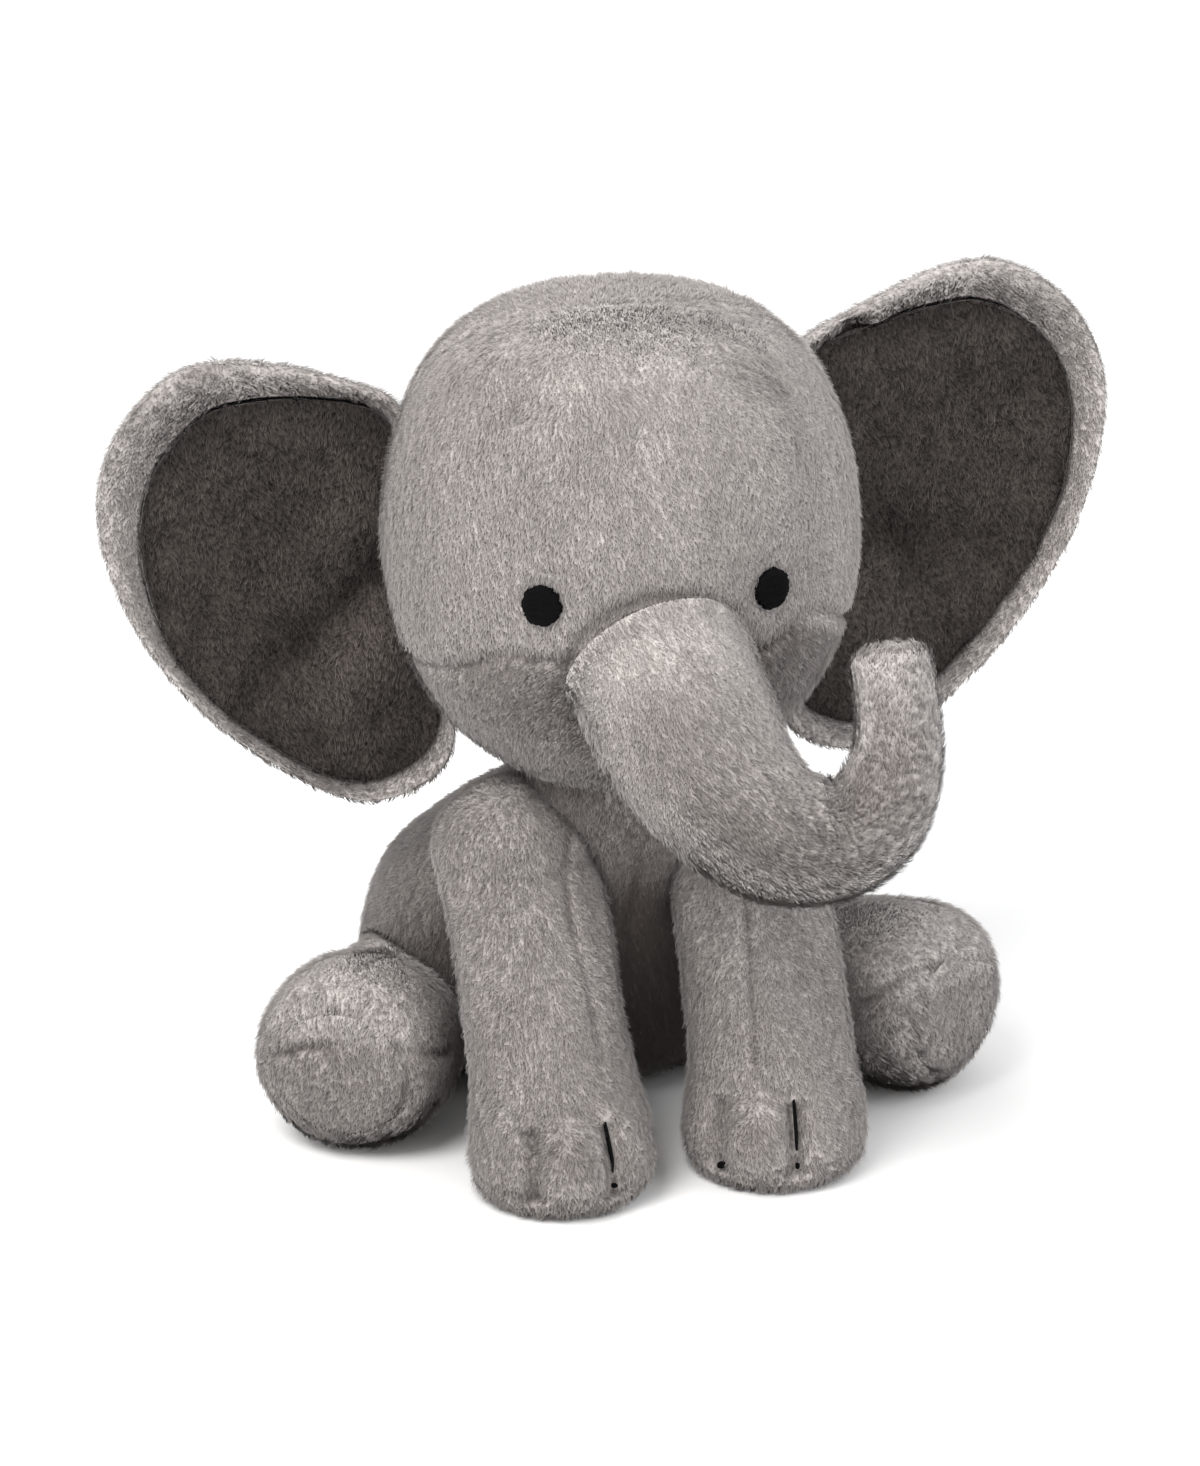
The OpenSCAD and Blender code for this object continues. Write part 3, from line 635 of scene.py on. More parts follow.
def make_head():
    spans = ((-88, -60, 26), (-59, 59, 130), (60, 89, 46))
    a = np.radians(np.concatenate([np.linspace(*span) for span in spans]))
    share = head_share(a)
    z = HEAD_MIDDLE[2] + np.where(a > 0, CROWN, CHIN) * np.sin(a)
    rows = np.stack([0 * a, HEAD_MIDDLE[1] + 0 * a, z, HEAD_W * share, HEAD_D * share], -1)
    g = Grid(rings(rows, [0, 0, 1], [1, 0, 0], 300))
    g.push(-PILE_ROOM)
    g.push(0.7 * soft_noise(g.p, 34, 3))
    p = g.p
    x, y, z = np.moveaxis(p, -1, 0)
    front = ramp(10, -30, y)

    # Cheeks and chin: a panel under the seam whose pile lies the other way
    seam_z = 142 - 10 * ramp(30, 58, np.abs(x)) + 2.5 * bump_at(x - 36, 9)
    cheek = ramp(0.8, -0.8, z - seam_z) * ramp(14, -6, y)
    near_trunk = bump_at(g.away(TRUNK_ROOT + [0, -2, -3]), 30)
    # Painted rim light: the pile is lighter where the head turns away from the front
    g.tone = 0.28 - 0.22 * ramp(0.7, 0.15, g.facing(-0.25))
    # The cheek panel is darker for its nap, and darker still toward the toy's left as painted shade;
    # painted shade also darkens the face round the trunk
    g.tone += 0.24 * cheek * (1 + 0.9 * ramp(15, 35, x)) + 0.06 * near_trunk * (1 - cheek)

    # The crown has patches brushed against the pile
    brushed = ramp(0.0, 0.6, soft_noise(p, 17, 41, 3)) * ramp(176, 204, z) * front
    patch = ramp(0.0, 0.5, soft_noise(p, 10, 57, 3)) * ramp(188, 206, z)
    brushed = np.clip(brushed + 0.8 * patch * ramp(-26, 10, x), 0, 1)
    g.tone += 0.13 * brushed + 0.06 * soft_noise(g.p, 24, 77)
    g.push(1.6 * bump_at(g.away(head_point(math.radians(44), 132)), 11))

    for seam in (CHEEK_SEAM_RIGHT, CHEEK_SEAM_LEFT):
        g.groove(seam, 1.5, 1.7, 0.3, 0.05)
    g.groove(DART_RIGHT, 0.8, 1.3, 0.25, 0.3)
    for seam in (SIDE_SEAM, mirrored(SIDE_SEAM)):
        g.groove(seam, 1.1, 1.7, 0.2, 0.05)
    g.groove(BACK_SEAM, 1.1, 1.6, 0.2, 0.05)

    for angle in (EYE_LEFT, EYE_RIGHT):
        d = g.away(head_point(angle, EYE_Z))
        g.push(-1.6 * bump_at(d, 8))
        g.cover *= ramp(EYE_R - 0.9, EYE_R + 0.1, d)

    d = g.away(TRUNK_ROOT)
    g.push(-0.8 * bump_at(d - TRUNK_SEAM_R, 1.5) * front)
    # Painted shade in the dip round the trunk's root
    g.tone += 0.16 * bump_at(d - TRUNK_SEAM_R, 1.2) * front
    g.cover *= np.where(d < UNDER_TRUNK_R, 0.0, 1.0)

    # The pile lies downward and outward, on the face and on the back
    ahead = np.stack([0.0045 * x, 0.35 - 0.85 * front, np.full_like(x, -1.0)], -1)
    g.comb(ahead, 24, 26, 9)
    turned = np.cross(g.normals(), g.nap)
    whirl = 2.0 * soft_noise(p, 13, 43) * ramp(176, 200, z)
    g.nap = unit(g.nap * (1 - 0.5 * brushed)[..., None] + turned * (whirl * (0.25 + brushed))[..., None])
    g.nap = unit(g.nap + 0.9 * cheek[..., None] * turned * np.sign(x)[..., None])
    g.grain = g.p * UPRIGHT_GRAIN
    return grid_object("head_skin", g, place_head, grey_cloth)


head = make_head()
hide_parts("head_front_panel", "head_back_panel_left", "head_back_panel_right",
            "cheek_panel_left", "cheek_panel_right", "head_stuffing")


def make_eye(name, angle, seed):
    """Satin-stitched disc: close threads across it, with a slightly ragged edge."""
    middle = head_point(angle, EYE_Z)
    out = unit(np.array([math.sin(angle) / HEAD_W, -math.cos(angle) / HEAD_D, 0.0]))
    side = unit(np.cross(out, [0, 0, 1.0]))
    up = np.cross(side, out)
    a = np.linspace(0, 2 * np.pi, 220, endpoint=False)
    height = np.round(np.sin(a) / 0.085) * 0.085
    rag = 0.32 * lattice_noise(np.stack([height * 40, np.sign(np.cos(a)), np.zeros_like(a)], -1), seed)
    rows = []
    for k in range(34):
        t = (k + 0.3) / 33.3
        r = EYE_R * t + rag * t**6
        edge = math.sqrt(max(0.0, 1 - t**5))
        x, z = r * np.cos(a) * 0.97, r * np.sin(a) * 1.03
        thread = 0.07 * np.cos(2 * np.pi * z / EYE_STITCH)
        lift = -0.55 + 1.15 * edge + thread * edge - x * x / (2 * HEAD_W)
        rows.append(middle + x[:, None] * side + z[:, None] * up + lift[:, None] * out)
    back = rows[-1] - out
    return grid_object(name, Grid(rows + [back]), place_head, black_thread)


for name, angle, seed in (("eye_left", EYE_LEFT, 3), ("eye_right", EYE_RIGHT, 8)):
    eye = make_eye(name + "_embroidery", angle, seed)
    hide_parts(name)
    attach(eye, "head")

# ---- trunk
TRUNK_SIDES = 132
RIPPLE = 2.4  # from one cross ripple to the next
TRUNK_PATH = [  # x, y, z and radius
    [-1, -55, 136.5, 22.8], [2, -70, 127, 22], [9, -80, 115, 19.6], [19, -85, 106, 17.6],
    [32, -86, 103, 15.6], [43, -86, 108, 13.6], [49, -84, 120, 11.7], [50, -81, 132, 10.7],
    [49, -78, 143, 10.2],
]


def make_trunk():
    path = catmull([[*row, row[-1]] for row in TRUNK_PATH], 230)
    start = path[0] - (path[3] - path[0]) * 3.2
    inner = np.linspace(0, 1, 12, endpoint=False)[:, None]
    root = start * (1 - inner) + path[0] * inner
    root[:, 3:] = path[0, 3] * (1.06 - 0.06 * inner)
    rows, step = closed_tube(np.concatenate([root, path]), 5.0, 26, 0.55)
    g = Grid(rings(rows, step, [0, -1, 0.35], TRUNK_SIDES))
    length = np.concatenate([[0], np.cumsum(norm(np.diff(rows[:, :3], axis=0)))])
    u = np.broadcast_to((length - length[len(root)])[:, None], g.p.shape[:2])
    a = np.broadcast_to(np.linspace(0, 2 * np.pi, TRUNK_SIDES, endpoint=False), g.p.shape[:2])
    g.face(100, [0, -1, 0.35])
    g.push(-PILE_ROOM)
    g.push(0.5 * soft_noise(g.p, 22, 13))

    # Where the fabric is gathered round the bend, its pile lies in fine cross ripples
    facing = g.facing(-0.2)
    middle = ramp(0.35, 0.85, facing)
    bend = ramp(22, 55, u) * ramp(112, 84, u)
    warp = 2.0 * soft_noise(g.p, 9, 21) + 0.8 * soft_noise(g.p, 3, 22)
    ripple = np.sin(2 * np.pi * (u / RIPPLE + warp))
    strength = (0.2 + 0.8 * bend) * middle * ramp(10, 26, u) * ramp(118, 96, u)
    g.push(0.22 * ripple * strength)
    # Painted light: the trunk is darker where it faces the front and lighter at its sides, with more
    # painted shade round the bend, at the root and in the ripples' valleys
    g.tone = 0.04 + 0.42 * ramp(0.45, 0.95, facing) * ramp(4, 20, u) * ramp(124, 88, u)
    g.tone += 0.14 * bend * middle + 0.16 * ramp(9, -2, u) * middle
    valley = np.clip(-ripple, 0, 1) * strength
    g.tone += 0.1 * valley + 0.05 * soft_noise(g.p, 12, 25)
    g.length = 1 - 0.18 * valley
    r = rows[:, 3][:, None]
    for seam in (0.5, 1.5):  # in half turns from the top
        gap = np.abs((a / np.pi - seam + 1) % 2 - 1) * np.pi * r
        g.push(-0.6 * bump_at(gap, 1.3))
    along = np.broadcast_to(step[:, None, :], g.p.shape)
    outward = np.cross(g.normals(), along) * (np.sign(np.sin(a)) * (1 - middle))[..., None]
    g.comb(along + 0.35 * outward, 20, 14, 33)
    g.grain = np.stack([u * 0.36, r * np.cos(a), r * np.sin(a)], -1)
    g.cover = np.where(u < -6, 0.0, 1.0)
    return grid_object("trunk_skin", g, place_head, grey_cloth)


trunk = make_trunk()
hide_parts("trunk_upper_panel", "trunk_under_panel", "trunk_stuffing")

# ---- ears
EAR_Y = 8.0
EAR_OUTLINE = [
    [46, 37], [52, 8], [48, -20], [42, -42], [47, -63], [70, -69], [97, -49],
    [117, -22], [127, 6], [127, 30], [115, 50], [94, 59], [67, 51],
]
EAR_MIDDLE = np.array([86.0, 1.0])
EAR_ROOT = np.array([60.0, -3.0])
EAR_SIDES = 260
EAR_HALF_T = 4.6  # half the thickness of an ear
BACK_FOLD = 0.3  # share of a fold's depth that shows on the back
EAR_DISH = 9.0  # how far the middle of an ear lies behind its edge


class Ear:
    """One ear in the left-hand frame; the right one is mirrored when it is placed.

    rim gives how far out the lining reaches, as a share, at angles round the ear. Each fold is a line
    in front view, its depth and width, and the height of the swell beside it.
    """

    def __init__(self, size, droop, drop, rim, folds):
        self.size, self.droop, self.drop, self.rim, self.folds = size, droop, drop, rim, folds

    def flat(self, share):
        """Points [x, z] at shares of the outline, before the ear is hung."""
        edge = closed_catmull(EAR_OUTLINE, EAR_SIDES)
        return EAR_MIDDLE + np.asarray(share)[..., None] * (edge - EAR_MIDDLE)

    def hang(self, flat, y):
        d = EAR_ROOT + self.size * (flat - EAR_ROOT) - EAR_ROOT
        c, s = math.cos(-self.droop), math.sin(-self.droop)
        x = EAR_ROOT[0] + d[..., 0] * c - d[..., 1] * s
        z = EAR_ROOT[1] + d[..., 0] * s + d[..., 1] * c
        return np.stack([x, y, HEAD_MIDDLE[2] - self.drop + z], -1)

    def rim_share(self):
        """How far out the lining reaches, all round the ear."""
        edge = closed_catmull(EAR_OUTLINE, EAR_SIDES) - EAR_MIDDLE
        a = np.degrees(np.arctan2(edge[:, 1], edge[:, 0]))
        return np.interp(a, *zip(*self.rim), period=360)

    def fold(self, p):
        """How far the middle of the ear is drawn back by its folds, in front view."""
        back = np.zeros(p.shape[:2])
        for line, depth, width, lobe in self.folds:
            d, along = side_distance(p[..., [0, 2]], line)
            fade = ramp(1.0, 0.5, along)
            back += depth * bump_at(d, width) * fade
            back -= lobe * bump_at(d - 2.4 * width, 1.5 * width) * fade
        return back


EARS = {
    "left": Ear(
        1.0, 0.0, 0.0,
        [(-150, 0.9), (-110, 0.9), (-65, 0.84), (-10, 0.84), (20, 0.8), (60, 0.78), (90, 0.8), (120, 0.88),
         (160, 0.94)],
        [([(56, 168), (70, 150), (82, 130), (90, 112)], 1.4, 8, 1.0),
         ([(60, 138), (76, 141), (94, 138), (110, 128)], 1.6, 8, 1.0)]),
    "right": Ear(
        0.96, math.radians(6), 4.0,
        [(-150, 0.9), (-110, 0.92), (-70, 0.9), (-35, 0.86), (0, 0.78), (30, 0.71), (60, 0.7), (90, 0.76),
         (110, 0.84), (160, 0.94)],
        [([(46, 150), (58, 145), (68, 134), (79, 124), (96, 113)], 2.6, 6.5, 1.8)]),
}


def ear_front_lift(t, rim):
    """Height of the front of the ear over its middle sheet: roll at the rim, dip at the lining's seam."""
    roll = np.sin(np.pi * np.clip((1 - t) / (1 - rim + 1e-6), 0, 1) ** 0.75)
    inside = 0.3 * ramp(0, 0.35, rim - t)
    return 0.4 + np.where(t > rim, 0.5 * roll, inside)


def ear_surface(ear, shares, front):
    """Front or back of the ear over a table of shares (rows) round its outline."""
    shares = np.broadcast_to(shares, (shares.shape[0], EAR_SIDES))
    y = EAR_Y + EAR_DISH * (1 - shares**2)
    if front:
        y = y - EAR_HALF_T * np.where(shares >= 1, 0.0, ear_front_lift(shares, ear.rim_share()[None, :]))
    else:
        y = y + EAR_HALF_T * np.sqrt(np.clip(1 - shares**5, 0, 1)) * 1.02
    p = ear.hang(ear.flat(shares), y)
    p[..., 1] += ear.fold(p) * ramp(1.0, 0.8, shares) * (1.0 if front else BACK_FOLD)
    return p


SHELL_INSIDE = 2.2  # how far the shell runs on under the lining
LINING_BACK = 1.5  # how far the lining's back lies behind its front
RIM_GATHER = ([62, EAR_Y, 198], [77, EAR_Y, 196])  # dips beside the left rim's pucker
RIM_PUCKER = [69, EAR_Y - 4, 197]


def make_shell(side):
    """Pale back of an ear, rolled round its rim and tucked under the lining."""
    ear = EARS[side]
    rim = ear.rim_share()[None, :]
    across = rim + (1 - rim) * np.linspace(0, 1, 34)[:, None] ** 0.8
    rim_front = ear_surface(ear, across, True)
    across = np.linspace(1, 0.02, 90)[1:, None] ** 0.75
    rim_back = ear_surface(ear, across, False)
    inner = ear_surface(ear, rim * np.linspace(0.03, 0.97, 22)[:, None], True) + [0, SHELL_INSIDE, 0]
    g = Grid(np.concatenate([inner, rim_front, rim_back]))
    g.p[len(inner):] = smooth_grid(g.p[len(inner):], 3)
    g.face(-30, [0, 1, 0])
    g.push(-PILE_ROOM)
    g.push(0.55 * soft_noise(g.p, 15, 61))
    row = np.arange(len(g.p))[:, None] * np.ones((1, EAR_SIDES))
    front = (row < len(inner) + len(rim_front)) * 1.0
    radial = unit((g.p - ear.hang(EAR_MIDDLE, np.array(EAR_Y))) * [1, 0, 1])
    if side == "left":
        # Pucker where the rim is gathered into the head
        d = norm((g.p - RIM_PUCKER) * [1, 0.3, 1])
        g.push(1.6 * bump_at(d, 4) * front)
        for at in RIM_GATHER:
            d = norm((g.p - at) * [1, 0.3, 1])
            g.push(-1.8 * bump_at(d, 3) * front)
            # Painted shade in the dip
            g.tone += 0.2 * bump_at(d, 3) * front
    # Painted shade: the front of the rim is darker where it rolls in toward the lining and on the ear's
    # lower side
    below = ramp(0.3, -0.8, radial[..., 2])
    depth = ramp(len(inner) + 14, len(inner), row)
    g.tone += 0.2 + front * (0.16 * depth + 0.1 * below) + 0.06 * soft_noise(g.p, 10, 63)
    if side == "right":
        g.tone += 0.12 * front * ramp(0.3, 0.9, radial[..., 2])
    g.length *= 0.75
    around = np.roll(g.p, -1, axis=1) - np.roll(g.p, 1, axis=1)
    around = unit(around) * -np.sign(around[..., 2:3])
    g.comb(0.3 * radial + 0.9 * around, 26, 12, 65)
    g.grain = g.p * [0.7, 1.0, 0.5]
    g.cover = np.where(row < len(inner) - 1, 0.0, 1.0)
    return grid_object(f"ear_{side}_shell_skin", g, place_head, grey_cloth, side == "right")


def make_lining(side):
    """Dark inner face of an ear, with its folds."""
    ear = EARS[side]
    rim = ear.rim_share()[None, :]
    shown = rim * np.linspace(0.012, 1.0, 96)[:, None] ** 0.8
    hidden = rim * np.linspace(0.99, 0.02, 24)[:, None]
    p = smooth_grid(ear_surface(ear, shown, True), 3)
    g = Grid(np.concatenate([p, ear_surface(ear, hidden, True) + [0, LINING_BACK, 0]]))
    g.face(40, [0, -1, 0])
    g.cover = (np.arange(len(g.p)) < len(p))[:, None] * np.ones((1, EAR_SIDES))
    g.push((0.8 * soft_noise(g.p, 11, 71, 3) - 0.5) * g.cover)
    edge = ramp(0.8, 1.0, np.concatenate([shown, hidden]) / rim)
    g.tone = 0.5 + 0.2 * soft_noise(g.p, 13, 73, 3) + 0.2 * edge
    for line, depth, width, _ in ear.folds:
        d, along = side_distance(g.p[..., [0, 2]], line)
        fade = ramp(1.0, 0.55, along) * depth / 2.6
        # Painted shade in each fold's crease, and painted light on the swell beside it
        g.tone += 0.42 * bump_at(d, 0.6 * width) * fade
        g.tone -= 0.4 * bump_at(d - 2.2 * width, 1.3 * width) * fade
    g.tone = np.clip(g.tone, 0, 1)
    g.comb([0.25, 0, -1.0], 75, 7, 75)
    g.grain = g.p * [0.95, 1.0, 0.6]
    return grid_object(f"ear_{side}_lining_skin", g, place_head, dark_cloth, side == "right")


ear_pieces = {side: (make_shell(side), make_lining(side)) for side in SIGN}

# ---- torso
SHOULDER = np.array([29.0, -10.0, 74.0])
KNEE, FOOT = np.array([28.5, -22, 62]), np.array([28.0, -43, 28])  # along the middle of a front leg
SHOULDER_R, HIP_R = 20.0, 20.0
HIP = np.array([48.0, 27.0, 20.0])
SPLAY = {"left": math.radians(35), "right": math.radians(32)}
HIND_LENGTH = {"left": 61.0, "right": 53.0}


def hind_along(side):
    """The way that a hind leg points, for a left leg."""
    return np.array([math.sin(SPLAY[side]), -math.cos(SPLAY[side]), 0.0])


def leg_bars(give):
    """Round bars in the legs' places, thinner by give: two ends and a radius each."""
    bars = []
    for side, sign in SIGN.items():
        flip = np.array([sign, 1, 1])
        bars.append((SHOULDER * flip, KNEE * flip, SHOULDER_R - give))
        bars.append((KNEE * flip, FOOT * flip, SHOULDER_R - give))
        end = HIP + 50 * (hind_along(side) + [0, 0, 0.03])
        bars.append((HIP * flip, end * flip, HIP_R - give))
    return bars


def make_torso():
    path = [
        [0, 44, 0.6, 33, 30], [0, 44, 1.2, 39, 36], [0, 43, 4, 45, 41], [0, 41, 12, 53, 48],
        [0, 38, 26, 56, 50], [0, 33, 42, 55, 49], [0, 26, 58, 50, 45], [0, 14, 72, 41, 38],
        [0, 2, 84, 32, 30], [0, -5, 92, 28, 26], [0, -6, 99, 25, 24],
    ]
    p = rings(catmull(path, 190), [0, 0, 1], [1, 0, 0], 280)
    p = tuck(p, leg_bars(1.5))
    p = smooth_grid(p, 14)
    g = Grid(p)
    g.face(90, [1, 0, 0])
    g.push(-PILE_ROOM)
    g.push(0.7 * soft_noise(g.p, 24, 81) * ramp(1, 8, g.p[..., 2]))
    g.rest()
    x, y, z = np.moveaxis(g.p, -1, 0)
    # Painted shade: the torso darkens toward the front, and most low between the front legs
    g.tone = 0.42 + 0.08 * soft_noise(g.p, 20, 83) + 0.3 * ramp(45, 10, y)
    g.tone += 0.4 * ramp(76, 54, z) * ramp(12, -8, y)

    belly = [[-0.5, -25.5, 84], [-1, -22, 70], [-2, -17, 55], [-2, -13, 40], [-1, -10, 25], [0, -6, 10]]
    g.groove(belly, 1.2, 1.6, 0.1, 0.1)
    back = [[0, 21, 90], [0, 33, 84], [0, 53, 72], [0, 71, 58], [0, 82, 42], [0, 87, 26], [0, 86, 12],
            [0, 82, 4]]
    g.groove(back, 1.3, 1.7, 0.22, 0.04)
    for sign in (1, -1):
        side = [[sign * 52, 24, 60], [sign * 56, 33, 44], [sign * 57, 39, 28], [sign * 55, 42, 14]]
        g.groove(side, 1.0, 1.6, 0.18, 0.15)
    g.comb(np.stack([0.02 * x, 0 * x, 0 * x - 1.0], -1), 22, 20, 85)
    g.grain = g.p * UPRIGHT_GRAIN
    g.cover = np.where((z < BARE_UNDER) | (z > 97), 0.0, 1.0)
    return grid_object("torso_skin", g, place_body, grey_cloth)


torso = make_torso()
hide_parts("belly_panel_left", "belly_panel_right", "back_panel_left", "back_panel_right",
            "seat_gusset", "torso_stuffing")

# ---- front legs
FRONT_PATH = [  # middle of the leg, and half its depth and width
    [27.5, -48, 0.5, 15.5, 16.5], [27.5, -48, 1.6, 19.2, 20.2], [27.5, -48, 6, 21.5, 23],
    [27.5, -47, 15, 21.5, 23], [28, -43, 28, 20, 21], [28.5, -33, 46, 19.5, 20.4],
    [28.5, -22, 62, 19.5, 20.4], [29, -10, 76, 20, 20.4],
]
TOE_TURN = {"left": math.radians(-28), "right": math.radians(5)}
TOE_ANGLE = math.radians(27)


def foot_point(angle, z, off=0.0):
    """Point on the front of a left foot at an angle from straight ahead and a height."""
    columns = np.transpose(FRONT_PATH)
    cx, cy, a, b = (np.interp(z, columns[2], columns[k]) for k in (0, 1, 3, 4))
    return np.array([cx + (b + off) * math.sin(angle), cy - (a + off) * math.cos(angle), z])


# Threads of each foot: points [toe gap, height, lift] and a radius
STITCHES = {
    "left": [
        ([(1, z, 0.1) for z in (25, 21, 16, 12)], 0.62), ([(1, z, 0.4) for z in (9, 7.5)], 0.75),
        ([(-0.86, 7.4, 0.5), (-1.05, 6.8, 0.5)], 1.15)],
    "right": [
        ([(-1, z, 0.0) for z in (25, 20, 15, 11.5)], 0.72),
        ([(-0.95, 8.6, 0.5), (-1.08, 8.2, 0.5)], 0.85)],
}
LEG_SEAM = {
    "left": [[23.5, -30, 76], [23, -37, 65], [21.5, -45, 54], [20.5, -51, 43], [19, -57.5, 33],
             [17.5, -61, 27]],
    "right": [[17, -20, 88], [20.5, -29, 76], [21.5, -38, 62], [20, -46, 50], [19, -53, 42],
              [19.5, -58, 34]],
}
LEG_REAR_SEAM = [[29, 10, 76], [28.5, -1, 60], [28.5, -12, 46], [28, -22, 28], [27.5, -25, 12]]


def stitches(side, lift=0.0):
    """Threads of a foot, each as points on it and a radius."""
    for points, radius in STITCHES[side]:
        yield [foot_point(TOE_TURN[side] + k * TOE_ANGLE, z, off + lift) for k, z, off in points], radius


def make_front_leg(side):
    rows = catmull(FRONT_PATH, 170)
    top = round_end(rows[-1], np.array([0, 0, 1]), SHOULDER_R * 0.95, (6, 86), 34)
    g = Grid(rings(np.concatenate([rows, top]), [0, 0, 1], [0, -1, 0], 190))
    g.face(60, [0, -1, 0])
    g.push(-PILE_ROOM)
    g.push(0.6 * soft_noise(g.p, 20, 91 if side == "left" else 95) * ramp(2, 9, g.p[..., 2]))
    turn = TOE_TURN[side]
    angle = np.arctan2(g.p[..., 0] - 27.5, -(g.p[..., 1] + 47.5))
    z = g.p[..., 2]
    zone = ramp(4, 9, z) * ramp(32, 20, z)
    for k, swell in ((-2, 1.0), (0, 2.6), (2, 1.0)):
        a = angle - turn - k * TOE_ANGLE
        a = (a + np.pi) % (2 * np.pi) - np.pi
        g.push(swell * bump_at(a, 0.34) * zone * ramp(30, 22, z))
    for k in (-1, 1):
        line = [foot_point(turn + k * TOE_ANGLE, h) for h in (5, 9, 14, 19, 25)]
        g.groove(line, 3.2, 2.7, 0.2, 0.1)
    over = [foot_point(turn + t * TOE_ANGLE, 27 - 2.5 * abs(t)) for t in (-1, -0.5, 0, 0.5, 1)]
    g.groove(over, 1.2, 2.6, 0.1, 0.2)
    toe = foot_point(turn + (0.0 if side == "left" else 0.1), 18.5)
    d = g.away(toe)
    g.tone += 0.14 * bump_at(d, 7) - 0.1 * bump_at(d - 9.5, 2)
    whorl = bump_at(d, 9)[..., None] * unit(g.p - toe)
    sole = [foot_point(t, 7.2) for t in np.linspace(-np.pi, np.pi, 25)]
    g.groove(sole, 0.9, 1.3, 0.2, 0)
    facing = g.facing(-0.1 if side == "left" else 0.3)
    g.tone += 0.4 if side == "left" else 0.46
    # Painted shade darkens the foot's lowest part, by the floor
    g.tone += 0.06 * soft_noise(g.p, 15, 93) + 0.1 * ramp(8, 5.5, z)
    # Painted rim light: the leg is lighter where it turns away from the front and does not face up
    g.tone -= 0.2 * ramp(0.75, 0.3, facing) * ramp(0.6, -0.4, g.normals()[..., 2])
    g.groove(LEG_SEAM[side], 0.9, 1.5, 0.16, 0.1)
    g.groove(LEG_REAR_SEAM, 0.8, 1.5, 0.16, 0.1)
    g.rest()
    down = np.stack([0.25 * np.sin(angle), -0.2 * np.cos(angle), np.full_like(angle, -1.0)], -1)
    g.comb(down + 0.9 * whorl, 24, 13, 97)
    g.grain = g.p * UPRIGHT_GRAIN
    g.cover = np.where(z < BARE_UNDER, 0.0, 1.0)
    for points, radius in stitches(side):
        d, _ = line_distance(g.p * [1, 0.2, 1], np.asarray(points) * [1, 0.2, 1], 20)
        g.cover *= ramp(radius, radius + 1.0, d)
    return grid_object(f"front_leg_{side}_skin", g, place_body, grey_cloth, side == "right")


def thread_line(name, groups, mirror):
    """Black threads lying in the pile: each is a short tapered roll between given points."""
    parts = []
    for points, radius in groups:
        path = catmull([[*q, 0, 0] for q in points], 40)
        t = np.linspace(0, 1, 40)
        swell = radius * (0.35 + 0.65 * np.sqrt(np.clip(4 * t * (1 - t), 0, 1)))
        path[:, 3] = swell * (1 + 0.12 * np.sin(2 * np.pi * t * 9))
        path[:, 4] = swell * 0.75
        step = unit(np.gradient(path[:, :3], axis=0))
        g = Grid(rings(path, step, [0, -1, 0.3], 20))
        g.face(20, [0, -1, 0.3])
        parts.append(grid_object(name, g, place_body, black_thread, mirror))
    with bpy.context.temp_override(active_object=parts[0], selected_editable_objects=parts):
        bpy.ops.object.join()
    return parts[0]


def cad_legs(kind, side):
    """Names of the solids that a leg's skin stands for."""
    return (f"{kind}_leg_{side}_{part}" for part in ("outer", "inner", "sole", "stuffing"))


THREAD_SINK = 1.9  # how far the threads lie under the foot's full outline
front_legs = {}
for side in SIGN:
    front_legs[side] = make_front_leg(side)
    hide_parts(*cad_legs("front", side))
    threads = thread_line(f"front_leg_{side}_threads", stitches(side, -THREAD_SINK), side == "right")
    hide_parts(f"front_leg_{side}_toe_stitches")
    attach(threads, f"front_leg_{side}")

# ---- hind legs
# Place along the leg, height, half height, half width: the first two from the hip, the rest from the sole
HIND_SECTIONS = [
    [0, 20.2, 20, 20], [14, 20.8, 20.5, 21.5], [-23, 23.9, 23.5, 24.5], [-11, 24.3, 24, 25],
    [-3.5, 24.3, 21.5, 22.5], [0, 24.3, 17, 18],
]
SOLE_SEAM = {
    "left": [[96, -13, 32], [88, -20, 36.5], [79.5, -25, 38.5], [70, -28.5, 38], [60, -28, 33.5],
             [54, -24, 29]],
    "right": [[91, -8, 27], [84, -15, 31], [73, -20, 33.5], [62, -24, 32.5], [51.5, -22.5, 29],
              [46, -16, 27]],
}
UPPER_SEAM = {
    "left": [[79.5, -25, 38.5], [80, -16, 44.5], [80, -8, 47], [72, 2, 46]],
    "right": [[73.5, -19.5, 33.5], [71, -13, 41], [64.5, -4, 47], [57, 6, 46]],
}


